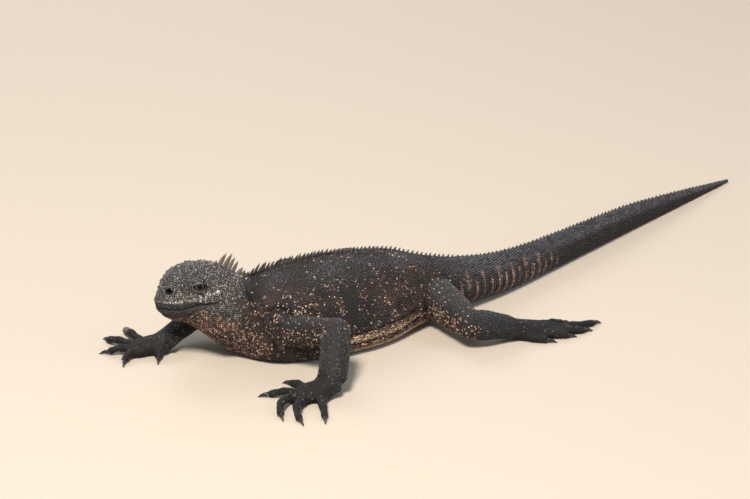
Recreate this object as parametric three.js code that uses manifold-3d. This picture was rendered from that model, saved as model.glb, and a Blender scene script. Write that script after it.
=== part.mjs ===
// A marine iguana, life size, crawling over flat ground with its belly and feet down.
// Millimetres, +Z up. The head points to -X, the tail to +X and the animal's left side is -Y.
// The origin is on the flat of the belly, half way between the shoulders and the hips.
import * as THREE from "three";
import { mergeVertices } from "three/addons/utils/BufferGeometryUtils.js";
import Module from "manifold-3d";

const wasm = await Module();
wasm.setup();

// Driving dimensions
const SNOUT_VENT = 280; // snout tip to vent, along the spine
const TAIL = 415; // vent to tail tip, along the spine
const TRUNK_MIDDLE = 174; // the place along the spine that stands over the origin
const GAP = 0.3; // between the faces of nodes that touch
const TIP = SNOUT_VENT + TAIL;
const DEG = Math.PI / 180;
const V = (x, y, z) => new THREE.Vector3(x, y, z);
const UP = V(0, 0, 1);
const TAILWARDS = V(1, 0, 0);

// A smooth curve through [place, value] stations, which never swings past them.
function along(stations) {
  const rise = (i) => (stations[i + 1][1] - stations[i][1]) / (stations[i + 1][0] - stations[i][0]);
  const last = stations.length - 1;
  const slopes = stations.map((_, i) => {
    if (i === 0) return rise(0);
    if (i === last) return rise(last - 1);
    const [before, after] = [rise(i - 1), rise(i)];
    return before * after <= 0 ? 0 : (2 * before * after) / (before + after);
  });
  return (x) => {
    if (x <= stations[0][0]) return stations[0][1];
    if (x >= stations[last][0]) return stations[last][1];
    const i = stations.findIndex((s, k) => k < last && x < stations[k + 1][0]);
    const [[x0, y0], [x1, y1]] = [stations[i], stations[i + 1]];
    const [w, t] = [x1 - x0, (x - x0) / (x1 - x0)];
    const [t2, t3] = [t * t, t * t * t];
    return y0 * (2 * t3 - 3 * t2 + 1) + w * slopes[i] * (t3 - 2 * t2 + t)
      + y1 * (3 * t2 - 2 * t3) + w * slopes[i + 1] * (t3 - t2);
  };
}

// The body's form, as sizes in millimetres against the distance along the spine from the snout tip
const HEADING = along([
  [0, -22], [66, -22], [84, -21], [104, -13], [130, -6], [174, -3.3], [272, -3], [312, 1.5], [350, 9],
  [400, 14.2], [500, 15.8], [TIP, 15.3],
]);
const TOP = along([
  [0, 58], [1.5, 63], [4, 68.5], [8, 76], [13, 82], [20, 86], [30, 88.3], [42, 88], [52, 86], [61, 82.5],
  [72, 77], [82, 73], [95, 75], [121, 80], [150, 81.5], [174, 79.5], [200, 76.5], [216, 73.5], [232, 69],
  [250, 61.5], [280, 51.5], [323, 42], [371, 36.5], [430, 33], [520, 27.5], [607, 16], [670, 6.5], [TIP, 2.4],
]);
const BOTTOM = along([
  [0, 51], [1.5, 47.5], [4, 44], [8, 40], [14, 37], [22, 34.8], [30, 31], [40, 23.5], [50, 14.5], [58, 7.5],
  [66, 3], [76, 0.2], [88, -2], [98, -2.5], [180, -2.5], [250, -1.5], [272, 2.6], [300, 3.6], [330, 2.2],
  [371, -0.3], [607, -0.5], [TIP, -0.2],
]);
const HALF_WIDTH = along([
  [0, 5.5], [1.5, 8.8], [4, 11.6], [9, 14.2], [18, 16.2], [28, 18.3], [38, 21], [48, 23], [57, 23.6],
  [66, 23.5], [78, 28], [90, 36], [105, 43.5], [130, 51], [155, 53.5], [174, 53.5], [195, 51], [215, 46.5],
  [235, 39.5], [252, 33], [270, 27.5], [290, 24], [323, 18.5], [371, 12.5], [430, 9.2], [520, 6.8],
  [607, 4.4], [670, 2.4], [TIP, 1.1],
]);
// How high the widest level lies, as a share of the height, and how square the halves above and below it are
const WAIST = along([
  [0, 0.42], [10, 0.36], [40, 0.42], [60, 0.43], [90, 0.34], [130, 0.28], [200, 0.28], [250, 0.36],
  [290, 0.44], [TIP, 0.45],
]);
const SQUARE_TOP = along([
  [0, 2.3], [12, 2.5], [45, 2.5], [70, 2], [100, 1.66], [200, 1.62], [300, 1.6], [400, 1.6], [TIP, 2],
]);
const SQUARE_BOTTOM = along([
  [0, 2.3], [30, 2.2], [60, 2.3], [80, 3], [100, 3.8], [200, 4], [240, 3.2], [280, 2.2], [TIP, 2],
]);

// Swellings of the body wall on both sides: place along the spine, angle from the back, reach each way, rise
const SWELLINGS = [
  { name: "brow ridge", at: 35, angle: 52, reach: 15, spread: 13, rise: 2 },
  { name: "eye hollow", at: 38, angle: 78, reach: 9, spread: 13, rise: -1.6 },
  { name: "jowl", at: 53, angle: 108, reach: 12, spread: 24, rise: 3 },
  { name: "snout side hollow", at: 24, angle: 66, reach: 8, spread: 16, rise: -1.2 },
  { name: "shoulder", at: 104, angle: 78, reach: 18, spread: 30, rise: 4.5 },
  { name: "waist", at: 228, angle: 95, reach: 20, spread: 40, rise: -2.5 },
  { name: "hip", at: 256, angle: 72, reach: 20, spread: 32, rise: 5 },
];

// The spine seen from above, stepped from the snout so that TRUNK_MIDDLE comes to the origin
const STEP = 1;
const spine = [[0, 0]];
for (let s = 0; s < TIP; s += STEP) {
  const [x, y] = spine[spine.length - 1];
  const turn = HEADING(s + STEP / 2) * DEG;
  spine.push([x + STEP * Math.cos(turn), y + STEP * Math.sin(turn)]);
}
const [middleX, middleY] = spine[TRUNK_MIDDLE / STEP];

function spinePoint(s) {
  const i = Math.min(Math.floor(s / STEP), spine.length - 2);
  const share = s / STEP - i;
  const mix = (k) => spine[i][k] + (spine[i + 1][k] - spine[i][k]) * share;
  return [mix(0) - middleX, mix(1) - middleY];
}

const power = (v, n) => Math.sign(v) * Math.abs(v) ** (2 / n);

// A point of the body wall: s along the spine, angle in degrees from the back towards the animal's left side
function bodyPoint(s, angle, grow = 0) {
  const turn = HEADING(s) * DEG;
  const [x, y] = spinePoint(s);
  const [top, bottom] = [TOP(s), BOTTOM(s)];
  const waist = bottom + (top - bottom) * WAIST(s);
  const [sin, cos] = [Math.sin(angle * DEG), Math.cos(angle * DEG)];
  const square = cos > 0 ? SQUARE_TOP(s) : SQUARE_BOTTOM(s);
  const tall = cos > 0 ? top - waist : waist - bottom;
  const wide = HALF_WIDTH(s);
  const out = new THREE.Vector2(sin / wide, cos / tall).normalize();
  const fromBack = Math.abs(((angle + 540) % 360) - 180);
  let swell = grow;
  for (const { at, angle: middle, reach, spread, rise } of SWELLINGS)
    swell += rise * Math.exp(-(((s - at) / reach) ** 2) - ((fromBack - middle) / spread) ** 2);
  const across = wide * power(sin, square) + out.x * swell;
  const z = waist + tall * power(cos, square) + out.y * swell;
  return V(x + across * Math.sin(turn), y - across * Math.cos(turn), Math.max(z, -grow));
}

// The wall's outward direction at a point of it
function bodyNormal(s, angle) {
  const [ds, da] = [0.8, 1.5];
  const alongWall = bodyPoint(s + ds, angle).sub(bodyPoint(s - ds, angle));
  const aroundWall = bodyPoint(s, angle + da).sub(bodyPoint(s, angle - da));
  return aroundWall.cross(alongWall).normalize();
}

// A closed solid through a row of rings with equal numbers of points, its ends closed on their middles
function skinned(rings) {
  const sides = rings[0].length;
  const middle = (ring) => ring.reduce((sum, p) => sum.add(p), V(0, 0, 0)).divideScalar(sides);
  const points = [...rings.flat(), middle(rings[0]), middle(rings[rings.length - 1])];
  const [first, last] = [points.length - 2, points.length - 1];
  const triangles = [];
  for (let k = 0; k < sides; k++) {
    const next = (k + 1) % sides;
    triangles.push(first, next, k);
    triangles.push(last, (rings.length - 1) * sides + k, (rings.length - 1) * sides + next);
    for (let i = 0; i + 1 < rings.length; i++) {
      const [a, b, c, d] = [i * sides + k, i * sides + next, (i + 1) * sides + k, (i + 1) * sides + next];
      triangles.push(a, b, d, a, d, c);
    }
  }
  return closed(points.flatMap((p) => [p.x, p.y, p.z]), triangles);
}

// A manifold solid from flat coordinates and triangles, turned right side out
function closed(coordinates, triangles) {
  const make = (triVerts) => new wasm.Manifold(new wasm.Mesh({
    numProp: 3, vertProperties: new Float32Array(coordinates), triVerts: new Uint32Array(triVerts),
  }));
  const solid = make(triangles);
  if (solid.volume() > 0) return solid;
  return make(triangles.map((_, i) => triangles[i - (i % 3) + [0, 2, 1][i % 3]]));
}

// A three.js geometry moved by a matrix, as a solid
function fromGeometry(geometry, matrix) {
  geometry.deleteAttribute("normal");
  geometry.deleteAttribute("uv");
  const merged = mergeVertices(geometry.applyMatrix4(matrix), 1e-3);
  return closed([...merged.attributes.position.array], [...merged.index.array]);
}

const join = (solids) => wasm.Manifold.union(solids);
const largest = (solid) => solid.decompose().reduce((a, b) => (b.volume() > a.volume() ? b : a));

// An ellipsoid at a point, its own Z along a direction and its own X towards a second one
const ROWS_PER_SIDE = 0.6; // rows of a ball for each of its sides
function ellipsoid(at, radii, sides = 12, upward = UP, forward = TAILWARDS) {
  const z = upward.clone().normalize();
  const y = z.clone().cross(forward).normalize();
  const basis = new THREE.Matrix4().makeBasis(y.clone().cross(z), y, z);
  const matrix = basis.setPosition(at).scale(V(...radii));
  return fromGeometry(new THREE.SphereGeometry(1, sides, Math.ceil(sides * ROWS_PER_SIDE)), matrix);
}

// A tube through stations { at, wide, tall }, its section an ellipse with tall measured upwards.
// It never dips under the floor.
function tube(stations, steps, sides) {
  const path = new THREE.CatmullRomCurve3(stations.map((s) => s.at));
  const wide = along(stations.map((s, i) => [i / (stations.length - 1), s.wide]));
  const tall = along(stations.map((s, i) => [i / (stations.length - 1), s.tall]));
  const rings = [];
  for (let i = 0; i <= steps; i++) {
    const t = i / steps;
    const centre = path.getPoint(t);
    const tangent = path.getTangent(t);
    const side = UP.clone().cross(tangent).normalize();
    const top = tangent.clone().cross(side);
    rings.push(Array.from({ length: sides }, (_, k) => {
      const a = (k / sides) * 2 * Math.PI;
      const p = centre.clone().addScaledVector(side, wide(t) * Math.cos(a));
      p.addScaledVector(top, tall(t) * Math.sin(a));
      p.z = Math.max(p.z, 0);
      return p;
    }));
  }
  return skinned(rings);
}

// The stretch of body between two places along the spine
function bodyLength(from, to, rings, sides, grow = 0) {
  const stops = Array.from({ length: rings + 1 }, (_, i) => from + ((to - from) * i) / rings);
  const ring = (s) => Array.from({ length: sides }, (_, k) => bodyPoint(s, (k / sides) * 360, grow));
  return skinned(stops.map(ring));
}

// Cuts a solid by a plane and returns both sides, a gap apart
function parted(solid, at, normal) {
  const n = normal.clone().normalize();
  const offset = n.dot(at);
  const [ahead, behind] = [n.toArray(), n.clone().negate().toArray()];
  return [solid.trimByPlane(behind, -offset + GAP / 2), solid.trimByPlane(ahead, offset + GAP / 2)];
}

// Numbers from 0 to 1 that vary like the real pieces do, the same on each run
function seeded(seed) {
  let state = seed;
  return () => {
    state = (state * 1664525 + 1013904223) % 4294967296;
    return state / 4294967296;
  };
}

// Spines of the crest: a flattened blade rooted in the body wall, leaning back from upright
const SPINE = { sides: 5, thick: 1.1, sunk: 2.6, widest: 2.5, share: 0.56, forward: 1.4, clear: 0.8 };
function crestSpine({ s, height, base, lean }) {
  const turn = HEADING(s) * DEG;
  const backwards = V(Math.cos(turn), Math.sin(turn), 0);
  const upward = UP.clone().addScaledVector(backwards, Math.tan(lean * DEG)).normalize();
  const across = upward.clone().cross(backwards).normalize();
  const basis = new THREE.Matrix4().makeBasis(across.clone().cross(upward), across, upward);
  const whole = height + SPINE.sunk;
  const middle = bodyPoint(s, 0).addScaledVector(upward, (height - SPINE.sunk) / 2);
  const spread = whole / height;
  const size = V(base * spread, SPINE.thick * spread, whole);
  const blade = new THREE.ConeGeometry(1, 1, SPINE.sides).rotateX(Math.PI / 2);
  return fromGeometry(blade, basis.setPosition(middle).scale(size));
}

// Where the body is parted into nodes, along the spine
const CUTS = {
  snout: 0, head: 82, neck: 102, chest: 158, rump: 284, tailRoot: 372, tailMiddle: 478, tailEnd: 584,
};

// The crest: tall on the nape, low on the neck, tall again over the shoulders and falling towards the tail
const CREST_HEIGHT = along([
  [51, 4], [54, 7], [57, 16], [62, 16], [66, 14.5], [71, 12], [75, 8], [79, 5], [84, 4.5], [88, 9],
  [91, 10.5], [95, 8], [104, 7], [150, 5], [200, 3.4], [280, 2.6], [430, 2.8], [560, 2.4], [670, 1.4],
]);
const CREST_PITCH = along([[51, 3.6], [62, 4.2], [82, 4.2], [96, 4.6], [180, 5.6], [300, 7], [TIP, 9]]);
const CREST_LEAN = along([[51, 24], [70, 26], [82, 28], [110, 26], [TIP, 38]]);
const CREST_SPAN = [50.5, 668];
const CREST_VARIES = { height: 0.15, lean: 8, seed: 7 };
const CREST = [];
const vary = seeded(CREST_VARIES.seed);
for (let s = CREST_SPAN[0]; s < CREST_SPAN[1]; s += CREST_PITCH(s)) {
  const height = CREST_HEIGHT(s) * (1 - CREST_VARIES.height + 2 * CREST_VARIES.height * vary());
  const base = Math.min(SPINE.widest, CREST_PITCH(s) * SPINE.share);
  CREST.push({ s, height, base, lean: CREST_LEAN(s) + CREST_VARIES.lean * vary() });
}

// The spines of one length of the body: those whose root and sunk part stay inside its ends
function spinesBetween(from, to) {
  const inside = CREST.filter(({ s, base, lean }) => {
    const sunk = SPINE.sunk * Math.tan(lean * DEG);
    return s - SPINE.forward * base - sunk > from + GAP && s + base < to - SPINE.clear;
  });
  return inside.map(crestSpine);
}

function withCrest(solid, from, to) {
  return largest(join([solid, ...spinesBetween(from, to)]));
}

// Body lengths: node name, ends along the spine, rings and sides
const LENGTHS = [
  ["head", CUTS.snout, CUTS.head, 20, 30],
  ["neck", CUTS.head, CUTS.neck, 4, 28],
  ["chest", CUTS.neck, CUTS.chest, 7, 28],
  ["belly", CUTS.chest, CUTS.rump, 13, 28],
  ["tail_root", CUTS.rump, CUTS.tailRoot, 8, 16],
  ["tail_middle", CUTS.tailRoot, CUTS.tailMiddle, 7, 12],
  ["tail_rear", CUTS.tailMiddle, CUTS.tailEnd, 7, 11],
  ["tail_tip", CUTS.tailEnd, TIP, 8, 10],
];

// The whole body from snout to tail a gap larger than its nodes are, for cutting the limbs clear of it
const BODY_CLEARANCE = join(LENGTHS.map(([, ...length]) => bodyLength(...length, GAP)));

// Head
const EYE = {
  at: 37, angle: 57, radius: 6.4, sunk: 4.1, upturn: 0.22, lids: [2, 1.1, 0.9], opening: [5.1, 3.1, 5],
};
const NOSTRIL = { at: 10.5, angle: 57, long: 2.9, wide: 2.7, deep: 3.4 };
const EAR = { at: 60.5, angle: 84, long: 3.6, wide: 2.6, deep: 1.5 };
const MOUTH = { corner: 53, front: 2, pitch: 4.5, bend: 10, bendPitch: 2.5, bulge: 1.6, sides: 5 };
const GROOVE = { lift: 0.3, wide: 1.7, tall: 0.55 };
const LIP = { shift: 3.2, lift: -0.2, wide: 1.3, tall: 1.5 };
const SCUTE = { sides: 5, sunk: 1.2, top: 0.5, foot: 1.15, wide: 2.7, high: 1.4, varies: 0.2 };
const CROWN = { from: 5, to: 56, pitch: 7, reach: 50, across: 1.5, first: 1, seed: 21 };

// The mouth's height at each place along the head: level along the front and rising to the corner
const MOUTH_LINE = along([
  [0, 51.9], [11, 51.6], [18, 51.6], [25, 52.7], [30, 54.6], [35, 56.2], [42, 57.2], [MOUTH.corner, 58.4],
]);

// The angle from the back at which the body wall has a height
function angleAt(s, z) {
  const [top, bottom] = [TOP(s), BOTTOM(s)];
  const waist = bottom + (top - bottom) * WAIST(s);
  const above = z > waist;
  const share = above ? (z - waist) / (top - waist) : (waist - z) / (waist - bottom);
  const slope = Math.acos(share ** ((above ? SQUARE_TOP(s) : SQUARE_BOTTOM(s)) / 2)) / DEG;
  return above ? slope : 180 - slope;
}

function mouthPoints(shift, lift) {
  const half = [];
  for (let s = MOUTH.corner; s >= MOUTH.front; s -= s > MOUTH.bend ? MOUTH.pitch : MOUTH.bendPitch)
    half.push([s, angleAt(s, MOUTH_LINE(s) + shift)]);
  const side = (sign) => half.map(([s, angle]) => {
    const p = bodyPoint(s, sign * angle);
    return p.addScaledVector(bodyNormal(s, sign * angle), lift);
  });
  const front = side(1).pop().add(side(-1).pop()).divideScalar(2);
  const turn = HEADING(0) * DEG;
  front.addScaledVector(V(-Math.cos(turn), -Math.sin(turn), 0), MOUTH.bulge + lift / 2);
  return [...side(1), front, ...side(-1).reverse()];
}

// A bead along the mouth, for its groove and its lips
function mouthTube(shift, { lift, wide, tall }) {
  const points = mouthPoints(shift, lift);
  return tube(points.map((at) => ({ at, wide, tall })), points.length - 1, MOUTH.sides);
}

function eyeFrame(sign) {
  const surface = bodyPoint(EYE.at, sign * EYE.angle);
  const turn = HEADING(EYE.at) * DEG;
  const out = V(Math.sin(turn) * sign, -Math.cos(turn) * sign, EYE.upturn).normalize();
  const back = V(Math.cos(turn), Math.sin(turn), 0);
  return { out, back, centre: surface.addScaledVector(out, -EYE.sunk) };
}

// The lids: a cap over the eyeball, opened by an almond along the eye's own axis
function lids(sign) {
  const { out, back, centre } = eyeFrame(sign);
  return ellipsoid(centre, EYE.lids.map((proud) => EYE.radius + proud), 14, out, back);
}

function lidOpening(sign) {
  const { out, back, centre } = eyeFrame(sign);
  return ellipsoid(centre.clone().addScaledVector(out, EYE.radius), EYE.opening, 12, out, back);
}

// A low cone for a scute, set on the head's wall
function scute(s, angle, radius, height) {
  const root = bodyPoint(s, angle);
  const out = bodyNormal(s, angle);
  const turnUp = new THREE.Quaternion().setFromUnitVectors(V(0, 1, 0), out);
  const middle = root.addScaledVector(out, (height - SCUTE.sunk) / 2);
  const matrix = new THREE.Matrix4().compose(middle, turnUp, V(1, 1, 1));
  const tall = height + SCUTE.sunk;
  const cone = new THREE.CylinderGeometry(radius * SCUTE.top, radius * SCUTE.foot, tall, SCUTE.sides);
  return fromGeometry(cone, matrix);
}

// Rows of scutes over the snout and crown: each row runs across the head from side to side
function crownScutes() {
  const made = [];
  const random = seeded(CROWN.seed);
  const varied = (size) => size * (1 - SCUTE.varies + 2 * SCUTE.varies * random());
  const rows = Math.ceil((CROWN.to - CROWN.from) / CROWN.pitch);
  for (let row = 0; row < rows; row++) {
    const half = row === 0 ? CROWN.first : CROWN.across;
    for (let k = -half + (row % 2) / 2; k <= half; k++) {
      const s = CROWN.from + CROWN.pitch * row + random() - 0.5;
      made.push(scute(s, (k / half) * CROWN.reach, varied(SCUTE.wide), varied(SCUTE.high)));
    }
  }
  return made;
}

function headSolid() {
  const [, from, to, rings, sides] = LENGTHS[0];
  let head = bodyLength(from, to - GAP / 2, rings, sides);
  const raised = crownScutes();
  for (const sign of [1, -1]) raised.push(lids(sign));
  raised.push(...spinesBetween(from, to));
  raised.push(mouthTube(LIP.shift, LIP), mouthTube(-LIP.shift, LIP));
  head = join([head, ...raised]).subtract(mouthTube(0, GROOVE));
  for (const sign of [1, -1]) {
    const { centre, out, back } = eyeFrame(sign);
    const socketRadius = EYE.radius + GAP;
    const socket = ellipsoid(centre, [socketRadius, socketRadius, socketRadius], 12, out, back);
    const pits = [NOSTRIL, EAR].map((hole) => {
      const at = bodyPoint(hole.at, sign * hole.angle);
      const inwards = bodyNormal(hole.at, sign * hole.angle);
      const behind = bodyPoint(hole.at + hole.long, sign * hole.angle).sub(at);
      return ellipsoid(at, [hole.long, hole.wide, hole.deep], 8, inwards, behind);
    });
    head = head.subtract(join([socket, lidOpening(sign), ...pits]));
  }
  return largest(head);
}

// Limbs: each is a row of segments joined at balls, cut clear of the body and parted at its joints
const LIMBS = {
  left_arm: {
    root: V(-82, -14, 27), joint: V(-53, -78, 45), end: V(-76, -106, 14),
    upper: [[14, 15.5], [12.5, 13], [11, 11.5]], lower: [[11.5, 12], [13, 13], [13, 12.5], [13.5, 10]],
    names: ["upper_arm_left", "forearm_left", "hand_left"],
  },
  right_arm: {
    root: V(-70, 27, 30), joint: V(-112, 60, 25), end: V(-156, 50, 11),
    upper: [[15, 17], [13, 14], [11, 11.5]], lower: [[11, 11], [10.5, 10.5], [9.5, 9.5], [12, 8.5]],
    names: ["upper_arm_right", "forearm_right", "hand_right"],
  },
  left_leg: {
    root: V(86, -16, 26), joint: V(81, -90, 22), end: V(121, -96, 12),
    upper: [[17, 19], [16, 17.5], [12, 12.5]], lower: [[12, 12.5], [13, 13.5], [11.5, 12], [11, 10.5]],
    names: ["thigh_left", "shank_left", "foot_left"],
  },
  right_leg: {
    root: V(76, 8, 30), joint: V(52, 78, 27), end: V(90, 94, 12),
    upper: [[19, 20], [16.5, 18], [12, 12.5]], lower: [[12, 12.5], [13, 13.5], [11.5, 12], [11, 10.5]],
    names: ["thigh_right", "shank_right", "foot_right"],
  },
};

// Digits, measured from the wrist or ankle: ahead and aside give the root in the foot's own heading, aside
// towards the animal's left; heading and turn are degrees from the foot's heading; reach is the length
// without the claw
const FEET = {
  hand_left: {
    heading: -12, palm: 30, half: 13.5,
    digits: [
      { ahead: 22, aside: -11, heading: -88, turn: 30, reach: 21, arch: 2 },
      { ahead: 27, aside: -2, heading: -35, turn: 15, reach: 31, arch: 3 },
      { ahead: 34, aside: 2, heading: 6, turn: 79, reach: 36, arch: 4 },
      { ahead: 29, aside: 10, heading: 31, turn: 62, reach: 36, arch: 4 },
      { ahead: 16, aside: 16, heading: 75, turn: 0, reach: 29, arch: 3 },
    ],
  },
  hand_right: {
    heading: -35, palm: 27, half: 12.5,
    digits: [
      { ahead: 4, aside: 9, heading: 100, turn: -10, reach: 9, arch: 1 },
      { ahead: 20, aside: 11, heading: 7, turn: 77, reach: 20, arch: 3 },
      { ahead: 25, aside: 6, heading: 6, turn: -11, reach: 24, arch: 4 },
      { ahead: 25, aside: -3, heading: -10, turn: -42, reach: 32, arch: 4 },
      { ahead: 19, aside: -10, heading: -41, turn: -33, reach: 36, arch: 4 },
    ],
  },
  foot_left: {
    heading: 168, palm: 38, half: 12,
    digits: [
      { ahead: 14, aside: -11, heading: -44, turn: 24, reach: 17, arch: 1.5 },
      { ahead: 28, aside: -9, heading: -34, turn: 26, reach: 23, arch: 2 },
      { ahead: 33, aside: -5, heading: -26, turn: 30, reach: 36, arch: 2 },
      { ahead: 36, aside: 1, heading: -20, turn: 36, reach: 47, arch: 2 },
      { ahead: 33, aside: 9, heading: -8, turn: 20, reach: 23, arch: 2 },
    ],
  },
  foot_right: {
    heading: -38, palm: 38, half: 12,
    digits: [
      { ahead: 16, aside: 11, heading: 44, turn: -20, reach: 18, arch: 1.5 },
      { ahead: 29, aside: 9, heading: 24, turn: -16, reach: 26, arch: 2 },
      { ahead: 34, aside: 4, heading: 8, turn: -12, reach: 37, arch: 3 },
      { ahead: 35, aside: -2, heading: -10, turn: -14, reach: 47, arch: 3 },
      { ahead: 24, aside: -9, heading: -34, turn: -12, reach: 29, arch: 2 },
    ],
  },
};
const DIGIT = { root: 4.1, end: 3, sides: 6, steps: 4, stand: 0.86, buried: 0.45, knuckle: 1.2 };
const CLAW = {
  length: 10.5, root: 2.3, tip: 0.3, sides: 5, steps: 4, lift: 9, fall: 79, taper: 0.85, narrow: 0.85,
};
// The palm's stations: share of its length, height of its middle, half width as a share of the palm's, and
// half height. It starts behind the wrist, as a share of the wrist's height.
const PALM = [[0.3, 8.5, 0.9, 8], [0.7, 6.4, 1, 6.2], [1, 4.8, 0.7, 4]];
const WRIST = { share: -0.12, size: 0.85 };
const LIMB_MESH = {
  upperSteps: 4, lowerSteps: 5, palmSteps: 4, sides: 11, palmSides: 10, knobSides: 10, knobProud: 0.4,
};

// A level direction from a heading: 0 is forwards, and it turns towards the animal's left
const level = (heading) => V(-Math.cos(heading * DEG), -Math.sin(heading * DEG), 0);

// The digit's path and the frame at its end, where the claw is set
function digitPath(foot, digit, start) {
  const ahead = level(foot.heading);
  const aside = level(foot.heading + 90);
  const at = V(start.x, start.y, 0).addScaledVector(ahead, digit.ahead).addScaledVector(aside, digit.aside);
  const inPalm = start.clone().lerp(at, DIGIT.buried);
  const points = [at.clone()];
  for (let i = 0; i < DIGIT.steps; i++) {
    const share = (i + 0.5) / DIGIT.steps;
    const heading = foot.heading + digit.heading + digit.turn * share;
    at.addScaledVector(level(heading), digit.reach / DIGIT.steps);
    points.push(at.clone());
  }
  points.forEach((p, i) => {
    const share = i / DIGIT.steps;
    const stands = DIGIT.stand * (DIGIT.root + (DIGIT.end - DIGIT.root) * share);
    p.z = stands + digit.arch * Math.sin(Math.PI * share) + (i === 0 ? DIGIT.knuckle : 0);
  });
  inPalm.z = points[0].z;
  return { points: [inPalm, ...points], heading: foot.heading + digit.heading + digit.turn };
}

function digitSolid(path) {
  const last = path.points.length - 1;
  const stations = path.points.map((at, i) => {
    const radius = DIGIT.root + (DIGIT.end - DIGIT.root) * (Math.max(i - 1, 0) / (last - 1));
    return { at, wide: radius, tall: radius };
  });
  return tube(stations, last, DIGIT.sides);
}

// A hooked claw that starts a gap beyond the digit's end and comes down to the ground
function clawSolid(path) {
  const end = path.points[path.points.length - 1];
  const forwards = level(path.heading);
  const at = end.clone().addScaledVector(forwards, GAP);
  at.z = Math.max(at.z, CLAW.root);
  const stations = [];
  for (let i = 0; i <= CLAW.steps; i++) {
    const share = i / CLAW.steps;
    const radius = CLAW.root + (CLAW.tip - CLAW.root) * share ** CLAW.taper;
    stations.push({ at: at.clone(), wide: radius * CLAW.narrow, tall: radius });
    const pitch = (CLAW.lift - CLAW.fall * share) * DEG;
    const step = CLAW.length / CLAW.steps;
    at.addScaledVector(forwards, step * Math.cos(pitch));
    at.z = Math.max(at.z + step * Math.sin(pitch), CLAW.tip);
  }
  return tube(stations, CLAW.steps, CLAW.sides);
}

function footSolid(name, wrist) {
  const foot = FEET[name];
  const ahead = level(foot.heading);
  const station = (share, z, wide, tall) => ({
    at: V(wrist.x, wrist.y, z).addScaledVector(ahead, foot.palm * share), wide, tall,
  });
  const palm = tube([
    station(WRIST.share, wrist.z, foot.half * WRIST.size, wrist.z * WRIST.size),
    ...PALM.map(([share, z, wide, tall]) => station(share, z, foot.half * wide, tall)),
  ], LIMB_MESH.palmSteps, LIMB_MESH.palmSides);
  const paths = foot.digits.map((digit) => digitPath(foot, digit, wrist));
  const solids = paths.map((path) => {
    const end = path.points[path.points.length - 1];
    const onwards = level(path.heading);
    return digitSolid(path).trimByPlane(onwards.clone().negate().toArray(), -onwards.dot(end));
  });
  return { solid: join([palm, ...solids]), claws: paths.map((path) => clawSolid(path)) };
}

function limbSegment(from, to, sizes, steps) {
  const last = sizes.length - 1;
  const stations = sizes.map(([wide, tall], i) => ({ at: from.clone().lerp(to, i / last), wide, tall }));
  return tube(stations, steps, LIMB_MESH.sides);
}

function limbNodes(limb) {
  const { root, joint, end, upper, lower, names } = limb;
  const foot = footSolid(names[2], end);
  const [knobWide, knobTall] = lower[0].map((size) => size + LIMB_MESH.knobProud);
  const whole = join([
    limbSegment(root, joint, upper, LIMB_MESH.upperSteps),
    ellipsoid(joint, [knobWide, knobWide, knobTall], LIMB_MESH.knobSides),
    limbSegment(joint, end, lower, LIMB_MESH.lowerSteps),
    foot.solid,
  ]);
  const clear = whole.subtract(BODY_CLEARANCE);
  const upperWay = joint.clone().sub(root).normalize();
  const lowerWay = end.clone().sub(joint).normalize();
  const [first, rest] = parted(clear, joint, upperWay.clone().add(lowerWay));
  const intoFoot = level(FEET[names[2]].heading).add(lowerWay);
  const [second, third] = parted(rest, end, intoFoot);
  const nodes = [first, second, third].map((solid, i) => [names[i], largest(solid)]);
  foot.claws.forEach((claw, i) => nodes.push([`claw_${names[2]}_${i + 1}`, claw]));
  return nodes;
}

const solids = [["head", headSolid()]];
for (const [name, from, to, rings, sides] of LENGTHS.slice(1)) {
  const end = to === TIP ? to : to - GAP / 2;
  solids.push([name, withCrest(bodyLength(from + GAP / 2, end, rings, sides), from, to)]);
}
for (const [side, sign] of [["left", 1], ["right", -1]]) {
  const { centre, out, back } = eyeFrame(sign);
  solids.push([`eye_${side}`, ellipsoid(centre, [EYE.radius, EYE.radius, EYE.radius], 12, out, back)]);
}
for (const limb of Object.values(LIMBS)) solids.push(...limbNodes(limb));

// Materials by the kind of surface
const SKIN = new THREE.MeshStandardMaterial({ color: 0x35302e, roughness: 0.62, metalness: 0 });
const LIMB_SKIN = new THREE.MeshStandardMaterial({ color: 0x2b2a2d, roughness: 0.58, metalness: 0 });
const HORN = new THREE.MeshStandardMaterial({ color: 0x1b1817, roughness: 0.38, metalness: 0 });
const EYEBALL = new THREE.MeshStandardMaterial({ color: 0x2a1c16, roughness: 0.08, metalness: 0 });

function materialOf(name) {
  if (name.startsWith("claw")) return HORN;
  if (name.startsWith("eye")) return EYEBALL;
  return /arm|hand|thigh|shank|foot/.test(name) ? LIMB_SKIN : SKIN;
}

function meshOf(name, solid) {
  const { vertProperties, triVerts } = solid.getMesh();
  const geometry = new THREE.BufferGeometry();
  geometry.setAttribute("position", new THREE.BufferAttribute(new Float32Array(vertProperties), 3));
  geometry.setIndex(new THREE.BufferAttribute(new Uint32Array(triVerts), 1));
  geometry.computeVertexNormals();
  const mesh = new THREE.Mesh(geometry, materialOf(name));
  mesh.name = name;
  return mesh;
}

const iguana = new THREE.Group();
for (const [name, solid] of solids) iguana.add(meshOf(name, solid));

export default iguana;
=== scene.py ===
"""A marine iguana, life size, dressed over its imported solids: one skin, scales, crest, eyes, lids and claws.

Sizes in the form's own tables are millimetres, as in the solids; meshes are made in metres.
The head points to -X and the animal's left side is -Y.
"""

import itertools
import math

import bmesh
import bpy
import numpy as np
from mathutils import Matrix, Vector


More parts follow.
